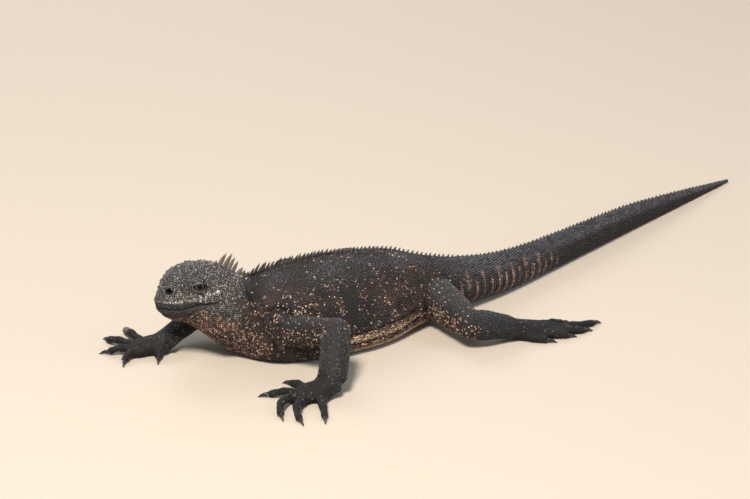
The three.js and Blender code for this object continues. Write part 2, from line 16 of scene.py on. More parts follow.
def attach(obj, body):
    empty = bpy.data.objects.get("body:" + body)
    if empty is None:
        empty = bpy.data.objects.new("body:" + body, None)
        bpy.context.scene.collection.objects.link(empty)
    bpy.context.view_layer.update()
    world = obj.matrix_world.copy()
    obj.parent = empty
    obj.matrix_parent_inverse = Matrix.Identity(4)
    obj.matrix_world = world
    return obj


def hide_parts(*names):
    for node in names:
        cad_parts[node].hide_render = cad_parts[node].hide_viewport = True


bl_info = {
    "name": "Marine iguana",
    "version": (1, 0, 0),
    "blender": (4, 5, 0),
    "location": "View3D > Sidebar > Iguana",
    "description": "Builds the skin, scales, crest, eyes, lids and claws of a life-size marine iguana",
    "category": "Object",
}

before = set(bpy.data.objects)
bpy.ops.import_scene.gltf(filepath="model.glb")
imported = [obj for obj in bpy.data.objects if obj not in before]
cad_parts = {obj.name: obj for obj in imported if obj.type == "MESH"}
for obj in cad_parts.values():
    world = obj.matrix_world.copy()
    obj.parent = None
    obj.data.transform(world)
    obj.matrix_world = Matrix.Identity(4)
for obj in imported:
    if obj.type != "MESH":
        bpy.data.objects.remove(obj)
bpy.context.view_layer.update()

MM = 0.001
BODY = "root"
# In mm along the spine from the snout's tip: the tail's tip, and the trunk's middle, which is the origin
TIP = 695
TRUNK_MIDDLE = 174


# The form's rules
def along(stations):
    """A smooth curve through (place, size) stations, which never swings past them."""
    places, sizes = np.array(stations, float).T
    rise = np.diff(sizes) / np.diff(places)
    product = rise[:-1] * rise[1:]
    total = rise[:-1] + rise[1:]
    inner = np.where(product > 0, 2 * product / np.where(total == 0, 1, total), 0)
    slopes = np.concatenate([rise[:1], inner, rise[-1:]])

    def at(x):
        x = np.clip(np.asarray(x, float), places[0], places[-1])
        i = np.clip(np.searchsorted(places, x, side="right") - 1, 0, len(places) - 2)
        w = places[i + 1] - places[i]
        t = (x - places[i]) / w
        return (
            sizes[i] * (2 * t**3 - 3 * t**2 + 1)
            + w * slopes[i] * (t**3 - 2 * t**2 + t)
            + sizes[i + 1] * (3 * t**2 - 2 * t**3)
            + w * slopes[i + 1] * (t**3 - t**2)
        )

    return at


# The spine's heading in degrees, the body's top and bottom, its half width, the share of its height at which
# it is widest, and how square it is above and below
HEADING = along([
    (0, -22), (66, -22), (84, -21), (104, -13), (130, -6), (174, -3.3), (272, -3), (312, 1.5), (350, 9),
    (400, 14.2), (500, 15.8), (TIP, 15.3)])
TOP = along([
    (0, 58), (1.5, 63), (4, 68.5), (8, 76), (13, 82), (20, 86), (30, 88.3), (42, 88), (52, 86), (61, 82.5),
    (72, 77), (82, 73), (95, 75), (121, 80), (150, 81.5), (174, 79.5), (200, 76.5), (216, 73.5), (232, 69),
    (250, 61.5), (280, 51.5), (323, 42), (371, 36.5), (430, 33), (520, 27.5), (607, 16), (670, 6),
    (TIP, 2.6)])
BOTTOM = along([
    (0, 51), (1.5, 47.5), (4, 44), (8, 40), (14, 37), (22, 34.8), (30, 31), (40, 23.5), (50, 14.5), (58, 7.5),
    (66, 3), (76, 0.2), (88, -2), (98, -2.5), (180, -2.5), (250, -1.5), (272, 2.6), (300, 3.6), (330, 2.2),
    (371, -0.3), (607, -0.5), (TIP, -0.2)])
HALF_WIDTH = along([
    (0, 5.5), (1.5, 8.8), (4, 11.6), (9, 14.2), (18, 16.2), (28, 18.3), (38, 21), (48, 23), (57, 23.6),
    (66, 23.5), (78, 28), (90, 36), (105, 43.5), (130, 51), (155, 53.5), (174, 53.5), (195, 51), (215, 46.5),
    (235, 39.5), (252, 33), (270, 27.5), (290, 24), (323, 18.5), (371, 12.5), (430, 9.2), (520, 6.8),
    (607, 4.4), (670, 2.3), (TIP, 1.2)])
WAIST = along([
    (0, 0.42), (10, 0.36), (40, 0.42), (60, 0.43), (90, 0.34), (130, 0.28), (200, 0.28), (250, 0.36),
    (290, 0.44), (TIP, 0.45)])
SQUARE_TOP = along([
    (0, 2.3), (12, 2.5), (45, 2.5), (70, 2), (100, 1.66), (200, 1.62), (300, 1.6), (400, 1.6), (TIP, 2)])
SQUARE_BOTTOM = along([
    (0, 2.3), (30, 2.2), (60, 2.3), (80, 3), (100, 3.8), (200, 4), (240, 3.2), (280, 2.2), (TIP, 2)])

# Swellings of the wall on both sides: place along the spine, angle from the back, reach each way, and rise
SWELLINGS = [
    (35, 52, 15, 13, 2.0),  # brow ridge
    (38, 78, 9, 13, -1.6),  # eye hollow
    (53, 108, 12, 24, 3.0),  # jowl
    (24, 66, 8, 16, -1.2),  # side of the snout
    (104, 78, 18, 30, 4.5),  # shoulder
    (228, 95, 20, 40, -2.5),  # waist
    (256, 72, 20, 32, 5.0),  # hip
]

_turns = np.radians(HEADING(np.arange(TIP) + 0.5))
SPINE_PATH = np.concatenate([[[0, 0]], np.cumsum(np.stack([np.cos(_turns), np.sin(_turns)], 1), 0)])
SPINE_PATH = SPINE_PATH - SPINE_PATH[TRUNK_MIDDLE]


def power(value, n):
    return np.sign(value) * np.abs(value) ** (2 / n)


def spine_point(s):
    stops = np.arange(TIP + 1)
    return np.interp(s, stops, SPINE_PATH[:, 0]), np.interp(s, stops, SPINE_PATH[:, 1])


def section(s):
    """The cross-section at s: widest level, height over and under it, half width, squareness of each half."""
    top, bottom = TOP(s), BOTTOM(s)
    waist = bottom + (top - bottom) * WAIST(s)
    return waist, top - waist, waist - bottom, HALF_WIDTH(s), SQUARE_TOP(s), SQUARE_BOTTOM(s)


def body_point(s, angle, grow=0.0):
    """Points of the body wall: s along the spine, angle in degrees from the back towards the left."""
    s, angle = np.broadcast_arrays(np.asarray(s, float), np.asarray(angle, float))
    turn = np.radians(HEADING(s))
    x, y = spine_point(s)
    waist, above, below, wide, square_top, square_bottom = section(s)
    sin, cos = np.sin(np.radians(angle)), np.cos(np.radians(angle))
    square = np.where(cos > 0, square_top, square_bottom)
    tall = np.where(cos > 0, above, below)
    out_x, out_z = sin / wide, cos / tall
    length = np.hypot(out_x, out_z)
    from_back = np.abs((angle + 540) % 360 - 180)
    swell = np.full(s.shape, float(grow))
    for at, middle, reach, spread, rise in SWELLINGS:
        swell = swell + rise * np.exp(-(((s - at) / reach) ** 2) - ((from_back - middle) / spread) ** 2)
    across = wide * power(sin, square) + out_x / length * swell
    z = waist + tall * power(cos, square) + out_z / length * swell
    return np.stack([x + across * np.sin(turn), y - across * np.cos(turn), np.maximum(z, 0)], -1)


def tailwards(s):
    """Level directions towards the tail."""
    turn = np.radians(HEADING(np.asarray(s, float)))
    return np.stack([np.cos(turn), np.sin(turn), np.zeros(np.shape(s))], -1)


def body_normal(s, angle):
    ds, da = 0.8, 1.5  # mm and degrees to each side
    along_wall = body_point(s + ds, angle) - body_point(s - ds, angle)
    around_wall = body_point(s, angle + da) - body_point(s, angle - da)
    out = np.cross(around_wall, along_wall)
    return out / np.linalg.norm(out, axis=-1, keepdims=True)


def angle_at(s, z):
    """The angle from the back at which the body wall has a height."""
    waist, above, below, _, square_top, square_bottom = section(s)
    high = z > waist
    share = np.clip(np.where(high, (z - waist) / above, (waist - z) / below), 0, 1)
    slope = np.degrees(np.arccos(share ** (np.where(high, square_top, square_bottom) / 2)))
    return np.where(high, slope, 180 - slope)


def places(points):
    """For points in mm: place along the spine, angle from the back, and how far outside the wall."""
    stride, block = 2, 20000
    path = SPINE_PATH[::stride]
    nearest = np.empty(len(points), int)
    for start in range(0, len(points), block):
        part = points[start : start + block, None, :2]
        nearest[start : start + block] = ((part - path[None]) ** 2).sum(-1).argmin(1)
    s = nearest.astype(float) * stride
    for _ in range(2):
        turn = np.radians(HEADING(s))
        x, y = spine_point(s)
        s = np.clip(s + (points[:, 0] - x) * np.cos(turn) + (points[:, 1] - y) * np.sin(turn), 0, TIP)
    turn = np.radians(HEADING(s))
    x, y = spine_point(s)
    side = (points[:, 0] - x) * np.sin(turn) - (points[:, 1] - y) * np.cos(turn)
    waist, above, below, wide, square_top, square_bottom = section(s)
    rise = points[:, 2] - waist
    u, v = side / wide, rise / np.where(rise > 0, above, below)
    n = np.where(rise > 0, square_top, square_bottom)
    angle = np.degrees(np.arctan2(np.sign(u) * np.abs(u) ** (n / 2), np.sign(v) * np.abs(v) ** (n / 2)))
    ratio = (np.abs(u) ** n + np.abs(v) ** n) ** (1 / n)
    outside = (1 - 1 / np.maximum(ratio, 1e-6)) * np.hypot(side, rise)
    return s, angle, outside


def to_line(points, line):
    """Distance from points to a broken line, and how far along it the nearest place is."""
    best = np.full(len(points), np.inf)
    reached = np.zeros(len(points))
    done = 0.0
    for a, b in zip(line[:-1], line[1:]):
        way = b - a
        length = np.linalg.norm(way)
        t = np.clip((points - a) @ way / length**2, 0, 1)
        distance = np.linalg.norm(points - a - t[:, None] * way, axis=1)
        near = distance < best
        best = np.where(near, distance, best)
        reached = np.where(near, done + t * length, reached)
        done += length
    return best, reached


def cloud(points, size, seed):
    """Smooth noise from -1 to 1 whose features have a size in mm; the size may differ along X, Y and Z."""
    cells = 32
    table = np.random.default_rng(seed).uniform(-1, 1, (cells, cells, cells))
    q = points / np.asarray(size, float)
    base = np.floor(q).astype(int)
    f = q - base
    f = f * f * (3 - 2 * f)
    total = np.zeros(len(points))
    for corner in itertools.product((0, 1), repeat=3):
        weight = np.prod(np.where(np.array(corner) == 1, f, 1 - f), axis=-1)
        i = (base + corner) % cells
        total += weight * table[i[:, 0], i[:, 1], i[:, 2]]
    return total


def ramp(x, low, high):
    """From 0 at low to 1 at high, smoothly."""
    t = np.clip((np.asarray(x, float) - low) / (high - low), 0, 1)
    return t * t * (3 - 2 * t)


def between(x, start, full, fade, end):
    """From 0 at start up to 1 at full, and from 1 at fade down to 0 at end."""
    return ramp(x, start, full) * (1 - ramp(x, fade, end))


def bell(x, middle, width):
    """1 at the middle, falling away on both sides."""
    return np.exp(-(((x - middle) / width) ** 2))


# Limbs, feet and claws, as the solids have them: half widths and half heights from root to joint to end
LIMBS = {
    "left_arm": dict(
        root=(-82, -14, 27), joint=(-53, -78, 45), end=(-76, -106, 14), foot="hand_left",
        upper=[(14, 15.5), (12.5, 13), (11, 11.5)], lower=[(11.5, 12), (13, 13), (13, 12.5), (13.5, 10)],
        nodes=("upper_arm_left", "forearm_left", "hand_left")),
    "right_arm": dict(
        root=(-70, 27, 30), joint=(-112, 60, 25), end=(-156, 50, 11), foot="hand_right",
        upper=[(15, 17), (13, 14), (11, 11.5)], lower=[(11, 11), (10.5, 10.5), (9.5, 9.5), (12, 8.5)],
        nodes=("upper_arm_right", "forearm_right", "hand_right")),
    "left_leg": dict(
        root=(86, -16, 26), joint=(81, -90, 22), end=(121, -96, 12), foot="foot_left",
        upper=[(17, 19), (16, 17.5), (12, 12.5)], lower=[(12, 12.5), (13, 13.5), (11.5, 12), (11, 10.5)],
        nodes=("thigh_left", "shank_left", "foot_left")),
    "right_leg": dict(
        root=(76, 8, 30), joint=(52, 78, 27), end=(90, 94, 12), foot="foot_right",
        upper=[(19, 20), (16.5, 18), (12, 12.5)], lower=[(12, 12.5), (13, 13.5), (11.5, 12), (11, 10.5)],
        nodes=("thigh_right", "shank_right", "foot_right")),
}
# Within so many mm of its middle line a point is a limb's beside the trunk, and beside the tail
LIMB_REACH, LIMB_NEAR = 45, 26
# Heading, palm length and half width, then the digits: ahead, aside, heading, turn, reach, arch
FEET = {
    "hand_left": (-12, 30, 13.5, [
        (22, -11, -88, 30, 21, 2), (27, -2, -35, 15, 31, 3), (34, 2, 6, 79, 36, 4), (29, 10, 31, 62, 36, 4),
        (16, 16, 75, 0, 29, 3)]),
    "hand_right": (-35, 27, 12.5, [
        (4, 9, 100, -10, 9, 1), (20, 11, 7, 77, 20, 3), (25, 6, 6, -11, 24, 4), (25, -3, -10, -42, 32, 4),
        (19, -10, -41, -33, 36, 4)]),
    "foot_left": (168, 38, 12, [
        (14, -11, -44, 24, 17, 1.5), (28, -9, -34, 26, 23, 2), (33, -5, -26, 30, 36, 2),
        (36, 1, -20, 36, 47, 2), (33, 9, -8, 20, 23, 2)]),
    "foot_right": (-38, 38, 12, [
        (16, 11, 44, -20, 18, 1.5), (29, 9, 24, -16, 26, 2), (34, 4, 8, -12, 37, 3),
        (35, -2, -10, -14, 47, 3), (24, -9, -34, -12, 29, 2)]),
}
# Stations of a palm: share of its length, height, share of its half width, half height
PALM = [(0.3, 8.5, 0.9, 8), (0.7, 6.4, 1, 6.2), (1, 4.8, 0.7, 4)]
WRIST = dict(share=-0.12, size=0.85)
DIGIT = dict(root=4.1, end=3, steps=4, stand=0.86, buried=0.45, knuckle=1.2)
CLAW = dict(length=10.5, root=2.3, tip=0.3, steps=12, lift=9, fall=79, taper=0.85, narrow=0.85, gap=0.3)
FLESH = ["head", "neck", "chest", "belly", "tail_root", "tail_middle", "tail_rear", "tail_tip"]
FLESH += [node for limb in LIMBS.values() for node in limb["nodes"]]


def bones(limb):
    """A limb's root, joint and end."""
    return (np.array(limb[key], float) for key in ("root", "joint", "end"))


def level(heading):
    """A level direction from a heading: 0 is forwards, and it turns towards the animal's left."""
    turn = math.radians(heading)
    return np.array([-math.cos(turn), -math.sin(turn), 0.0])


def tube_rings(centres, wides, talls, steps, sides, ripple=None):
    """Rings of a tube through points with half sizes across and upwards; it never dips under the floor."""
    stops = np.linspace(0, len(centres) - 1, len(centres))
    curves = [along(list(zip(stops, np.asarray(centres, float)[:, k]))) for k in range(3)]
    wide, tall = along(list(zip(stops, wides))), along(list(zip(stops, talls)))
    t = np.linspace(0, len(centres) - 1, steps + 1)
    middle = np.stack([curve(t) for curve in curves], 1)
    tangent = np.gradient(middle, axis=0)
    tangent /= np.linalg.norm(tangent, axis=1, keepdims=True)
    side = np.cross([0, 0, 1.0], tangent)
    side /= np.linalg.norm(side, axis=1, keepdims=True)
    top = np.cross(tangent, side)
    a = np.linspace(0, 2 * math.pi, sides, endpoint=False)
    swell = np.ones(len(t)) if ripple is None else ripple(t / (len(centres) - 1))
    rings = (
        middle[:, None]
        + side[:, None] * (wide(t) * swell)[:, None, None] * np.cos(a)[None, :, None]
        + top[:, None] * (tall(t) * swell)[:, None, None] * np.sin(a)[None, :, None]
    )
    rings[..., 2] = np.maximum(rings[..., 2], 0)
    return rings


def loft(rings):
    """Vertices and faces of a closed skin over rings with equal numbers of points."""
    count, sides = rings.shape[:2]
    points = np.concatenate([rings.reshape(-1, 3), rings[:1].mean(1), rings[-1:].mean(1)])
    first, last = len(points) - 2, len(points) - 1
    faces = []
    for k in range(sides):
        n = (k + 1) % sides
        faces.append((first, n, k))
        faces.append((last, (count - 1) * sides + k, (count - 1) * sides + n))
        faces += [(i + k, i + n, i + sides + n, i + sides + k) for i in range(0, (count - 1) * sides, sides)]
    return points, faces


def digit_paths(name):
    """Each digit's points from inside the palm to its end, and its last heading."""
    start = next(np.array(limb["end"], float) for limb in LIMBS.values() if limb["foot"] == name)
    foot_heading, _, _, digits = FEET[name]
    paths = []
    for ahead, aside, heading, turn, reach, arch in digits:
        at = np.array([*start[:2], 0]) + level(foot_heading) * ahead + level(foot_heading + 90) * aside
        points = [at.copy()]
        for i in range(DIGIT["steps"]):
            way = level(foot_heading + heading + turn * (i + 0.5) / DIGIT["steps"])
            points.append(points[-1] + way * reach / DIGIT["steps"])
        for i, point in enumerate(points):
            share = i / DIGIT["steps"]
            stands = DIGIT["stand"] * (DIGIT["root"] + (DIGIT["end"] - DIGIT["root"]) * share)
            point[2] = stands + arch * math.sin(math.pi * share) + (DIGIT["knuckle"] if i == 0 else 0)
        inside = start + (at - start) * DIGIT["buried"]
        inside[2] = points[0][2]
        paths.append((np.array([inside, *points]), foot_heading + heading + turn))
    return paths


def knuckles(t):
    """How a digit swells at its joints and thins between them, from its root at 0 to its end at 1."""
    swell, joints = 0.09, 3.2
    return 1 + swell * np.cos(t * 2 * math.pi * joints) * np.clip(t * 4, 0, 1)


def limb_shells():
    """Closed shells of the limbs, palms and digits, which the skin is drawn over."""
    shells = []

    def tube(centres, wides, talls, steps, sides, ripple=None):
        shells.append(loft(tube_rings(centres, wides, talls, steps, sides, ripple)))

    for limb in LIMBS.values():
        root, joint, end = bones(limb)
        for a, b, sizes in ((root, joint, limb["upper"]), (joint, end, limb["lower"])):
            centres = [a + (b - a) * i / (len(sizes) - 1) for i in range(len(sizes))]
            tube(centres, *zip(*sizes), steps=24, sides=28)
        # a ball fills the knee or elbow
        wide, tall = limb["lower"][0]
        ball = [joint + (end - joint) / np.linalg.norm(end - joint) * k * wide for k in (-1, -0.7, 0, 0.7, 1)]
        shrink = (0.12, 0.72, 1.03, 0.72, 0.12)
        tube(ball, [wide * k for k in shrink], [tall * k for k in shrink], steps=16, sides=24)
        heading, palm, half, _ = FEET[limb["foot"]]
        stations = [(WRIST["share"], end[2], WRIST["size"], end[2] * WRIST["size"]), *PALM]
        centres = [[*end[:2], z] + level(heading) * palm * share for share, z, _, _ in stations]
        tube(centres, [half * wide for _, _, wide, _ in stations], [tall for *_, tall in stations],
             steps=20, sides=28)
        for path, _ in digit_paths(limb["foot"]):
            radii = [DIGIT["root"], *np.linspace(DIGIT["root"], DIGIT["end"], DIGIT["steps"] + 1)]
            tube(path, radii, radii, steps=28, sides=14, ripple=knuckles)
    return shells


# The head: angles are from the back on either side, the rest is in mm
EYE = dict(at=37, angle=57, radius=6.4, sunk=4.1, upturn=0.22)
NOSTRIL = dict(at=10.5, angle=57, long=3.0, tall=2.7, deep=4.4)
EAR = dict(at=60.5, angle=84, reach=2.6, deep=1.5)
MOUTH_CORNER = 53
MOUTH_LINE = along([
    (0, 51.9), (11, 51.6), (18, 51.6), (25, 52.7), (30, 54.6), (35, 56.2), (42, 57.2), (MOUTH_CORNER, 58.4)])
# Height of the bare lips above and below the mouth's line
UPPER_LIP = along([(0, 5.6), (15, 6.2), (28, 5.2), (36, 3.2), (46, 1.6), (MOUTH_CORNER, 0.6)])
LOWER_LIP = along([(0, 5.8), (11, 8.0), (20, 8.8), (29, 8.0), (38, 5.0), (46, 2.4), (MOUTH_CORNER, 0.6)])
SIDES = (("left", 1), ("right", -1))
# Beyond so many mm from the hide a point isn't one of its own
FAR = 9


def eye_frame(sign):
    """The eye's own axes and centre in mm: towards the tail, upwards, and out of the head."""
    back = tailwards(EYE["at"])
    out = np.array([back[1] * sign, -back[0] * sign, EYE["upturn"]])
    out /= np.linalg.norm(out)
    up = np.cross(out, back) * sign
    up /= np.linalg.norm(up)
    back = back - out * (back @ out)
    back /= np.linalg.norm(back)
    centre = body_point(EYE["at"], sign * EYE["angle"]) - out * EYE["sunk"]
    return back, up, out, centre


def from_nostril(points, sign):
    """Distance from a nostril's middle, 1 at its edge, measured along the hide and not into the hole."""
    at, angle = NOSTRIL["at"], sign * NOSTRIL["angle"]
    out = body_normal(at, angle)
    away = points - body_point(at, angle)
    into = away @ out
    across = away - into[:, None] * out
    level_share = np.hypot(across[:, 0], across[:, 1]) / NOSTRIL["long"]
    return np.where(np.abs(into) < FAR, np.hypot(level_share, across[:, 2] / NOSTRIL["tall"]), FAR)


def mouth_points(sign):
    s = np.arange(MOUTH_CORNER, 0.4, -2.0)
    return body_point(s, sign * angle_at(s, MOUTH_LINE(s)))


def mouth_path():
    """The mouth's line from one corner round the front of the snout to the other."""
    left, right = mouth_points(1), mouth_points(-1)
    front = (left[-1] + right[-1]) / 2 - tailwards(0) * 0.8
    return np.concatenate([left, [front], right[::-1]])


# Creases of the hide on each side: stations (along the spine, angle from the back), half width and depth
CREASES = [
    ([(76, 6), (76.5, 22), (77.5, 38), (81.5, 48), (85, 57), (89, 70), (94, 86), (99, 102)], 2.6, 3.4),
    ([(69, 30), (70, 48), (72, 66), (76, 84), (82, 104)], 1.7, 1.3),
    ([(84, 24), (88, 42), (93, 58), (99, 74)], 1.6, 1.5),
    ([(90, 50), (94, 56), (98, 53), (102, 52), (107, 56), (111.5, 62), (118, 66)], 2.2, 3.2),
    ([(96, 66), (104, 70), (114, 72), (126, 76), (138, 82)], 1.8, 2.4),
    ([(100, 80), (110, 85), (124, 88), (136, 92)], 1.4, 1.3),
    ([(126, 52), (128, 66), (132, 80), (136, 94)], 1.6, 1.2),
    ([(140, 38), (162, 40), (186, 44), (213, 51), (236, 56)], 1.0, 0.7),
    ([(138, 88), (158, 89), (186, 86), (210, 84), (236, 82)], 1.5, 1.8),
    ([(136, 96), (158, 97), (186, 95), (216, 99), (238, 95)], 1.3, 1.6),
    ([(140, 108), (165, 107), (195, 105), (225, 108), (240, 108)], 1.2, 1.2),
    ([(234, 26), (239, 44), (242, 62), (243, 82), (243, 104)], 2.6, 3.6),
    ([(262, 34), (270, 50), (277, 66), (283, 84)], 1.8, 1.8),
    ([(20, 104), (34, 108), (52, 104), (70, 103)], 1.3, 0.9),
    ([(44, 116), (58, 114), (74, 112), (88, 116)], 1.3, 1.0),
]
CREASE_LINES = {
    sign: [
        (body_point(along(list(enumerate(s for s, _ in stations)))(fine),
                    sign * along(list(enumerate(a for _, a in stations)))(fine)), width, depth)
        for stations, width, depth in CREASES
        for fine in [np.linspace(0, len(stations) - 1, 20)]
    ]
    for sign in (1, -1)
}


def creased(points, outside):
    """How far creases move the hide at points in mm, inwards or out at their rims, and their shade."""
    dent, shade = np.zeros(len(points)), np.zeros(len(points))
    for lines in CREASE_LINES.values():
        for line, width, depth in lines:
            low, high = line.min(0) - 4 * width, line.max(0) + 4 * width
            near = np.flatnonzero(((points > low) & (points < high)).all(1) & (outside < FAR))
            distance, reached = to_line(points[near], line)
            length = np.linalg.norm(np.diff(line, axis=0), axis=1).sum()
            ends = np.maximum(between(reached, 0, 8, length - 8, length), 0.15)
            valley = bell(distance, 0, width) * ends
            rim = 0.5 * bell(distance, 2.1 * width, 1.1 * width) * ends
            dent[near] += depth * (rim - valley)
            shade[near] = np.maximum(shade[near], valley * min(1, 0.3 + depth / 3))
    return dent, shade


# Colours
def colour(code):
    """Linear red, green and blue of an sRGB hex value."""
    parts = [int(code[i : i + 2], 16) / 255 for i in (1, 3, 5)]
    return tuple(p / 12.92 if p <= 0.04045 else ((p + 0.055) / 1.055) ** 2.4 for p in parts)


TINTS = {
    name: np.array(colour(code))
    for name, code in dict(
        black="#151314", charcoal="#232122", slate="#3c3c41", grey="#515157", ash="#66625f", stone="#8f8982",
        chalk="#cdc6bc", cream="#cdb79c", blush="#ac8a7b", brown="#3f302b", rust="#69493c", ochre="#a07c63",
        umber="#33292a", lip="#2b2727",
    ).items()
}


def blend(base, other, weight):
    weight = np.clip(np.asarray(weight, float), 0, 1)[..., None]
    return base * (1 - weight) + other * weight


def limb_place(points):
    """For points in mm: the way along the nearest limb, its number, its distance, and the height over it."""
    best = np.full(len(points), np.inf)
    reached, over = np.zeros(len(points)), np.zeros(len(points))
    number = np.zeros(len(points), int)
    for k, limb in enumerate(LIMBS.values()):
        root, joint, end = bones(limb)
        heading, palm, _, _ = FEET[limb["foot"]]
        palm_end = end + level(heading) * palm * 1.6 - [0, 0, end[2] - 4]
        line = np.array([root, joint, end, palm_end])
        stops = np.concatenate([[0], np.cumsum(np.linalg.norm(np.diff(line, axis=0), axis=1))])
        distance, t = to_line(points, line)
        near = distance < best
        best, reached = np.where(near, distance, best), np.where(near, t, reached)
        over = np.where(near, points[:, 2] - np.interp(t, stops, line[:, 2]), over)
        number = np.where(near, k, number)
    return reached, number, best, over


def regions(points):
    """Weights from 0 to 1 of each region of the hide at points in mm, and the places that they come from."""
    s, angle, outside = places(points)
    turned = np.abs(angle)
    reached, number, distance, over = limb_place(points)
    clear = (distance < LIMB_NEAR) & (outside > 7)
    beside = np.maximum(ramp(s, 60, 75), clear)
    limb = ramp(outside, 2.5, 6.5) * beside * np.where(s > 318, clear, distance < LIMB_REACH)
    free = 1 - limb
    mouth, _ = to_line(points, mouth_path())
    held = np.minimum(s, MOUTH_CORNER)
    gap = points[:, 2] - MOUTH_LINE(held)
    beard = ramp(turned + 0.35 * np.maximum(s - 40, 0), 80, 100)
    sides = (s < MOUTH_CORNER + 1) * ramp(turned, 50, 62) * (limb < 0.1)
    upper_lip, lower_lip = gap / UPPER_LIP(held), -gap / LOWER_LIP(held)
    lips = np.where(gap > 0, 1 - ramp(upper_lip, 0.85, 1.1), 1 - ramp(lower_lip, 0.8, 1.15)) * sides
    label = bell(gap - UPPER_LIP(held), 1.6, 1.3) * sides * (1 - ramp(s, 30, 44))
    _, crease_shade = creased(points, outside)
    upper, lower = np.array([[np.linalg.norm(joint - root), np.linalg.norm(end - joint)]
                             for root, joint, end in map(bones, LIMBS.values())]).T
    past_joint = reached - upper[number]
    return dict(
        s=s, turned=turned, z=points[:, 2], limb=limb, reached=reached, number=number, over=over,
        mouth=mouth, gap=gap, lips=lips, label=label, crease_shade=crease_shade,
        head=(1 - ramp(s + (turned - 90) * 0.1, 62, 80)) * free,
        throat=ramp(-gap, -1, 3) * (1 - ramp(s, 80, 104)) * ramp(s, 2, 14) * beard * free,
        belly=ramp(turned, 112, 124) * between(s, 96, 120, 290, 320) * free,
        back=(1 - ramp(turned, 26, 50)) * ramp(s, 84, 104) * free,
        tail=ramp(s, 262, 308),
        shank=ramp(past_joint, -6, 10), foot=ramp(past_joint - lower[number], -4, 10),
        hind=(number >= 2).astype(float),
    )


def bands(s, stops, width):
    return sum(bell(s, stop, width) for stop in stops)


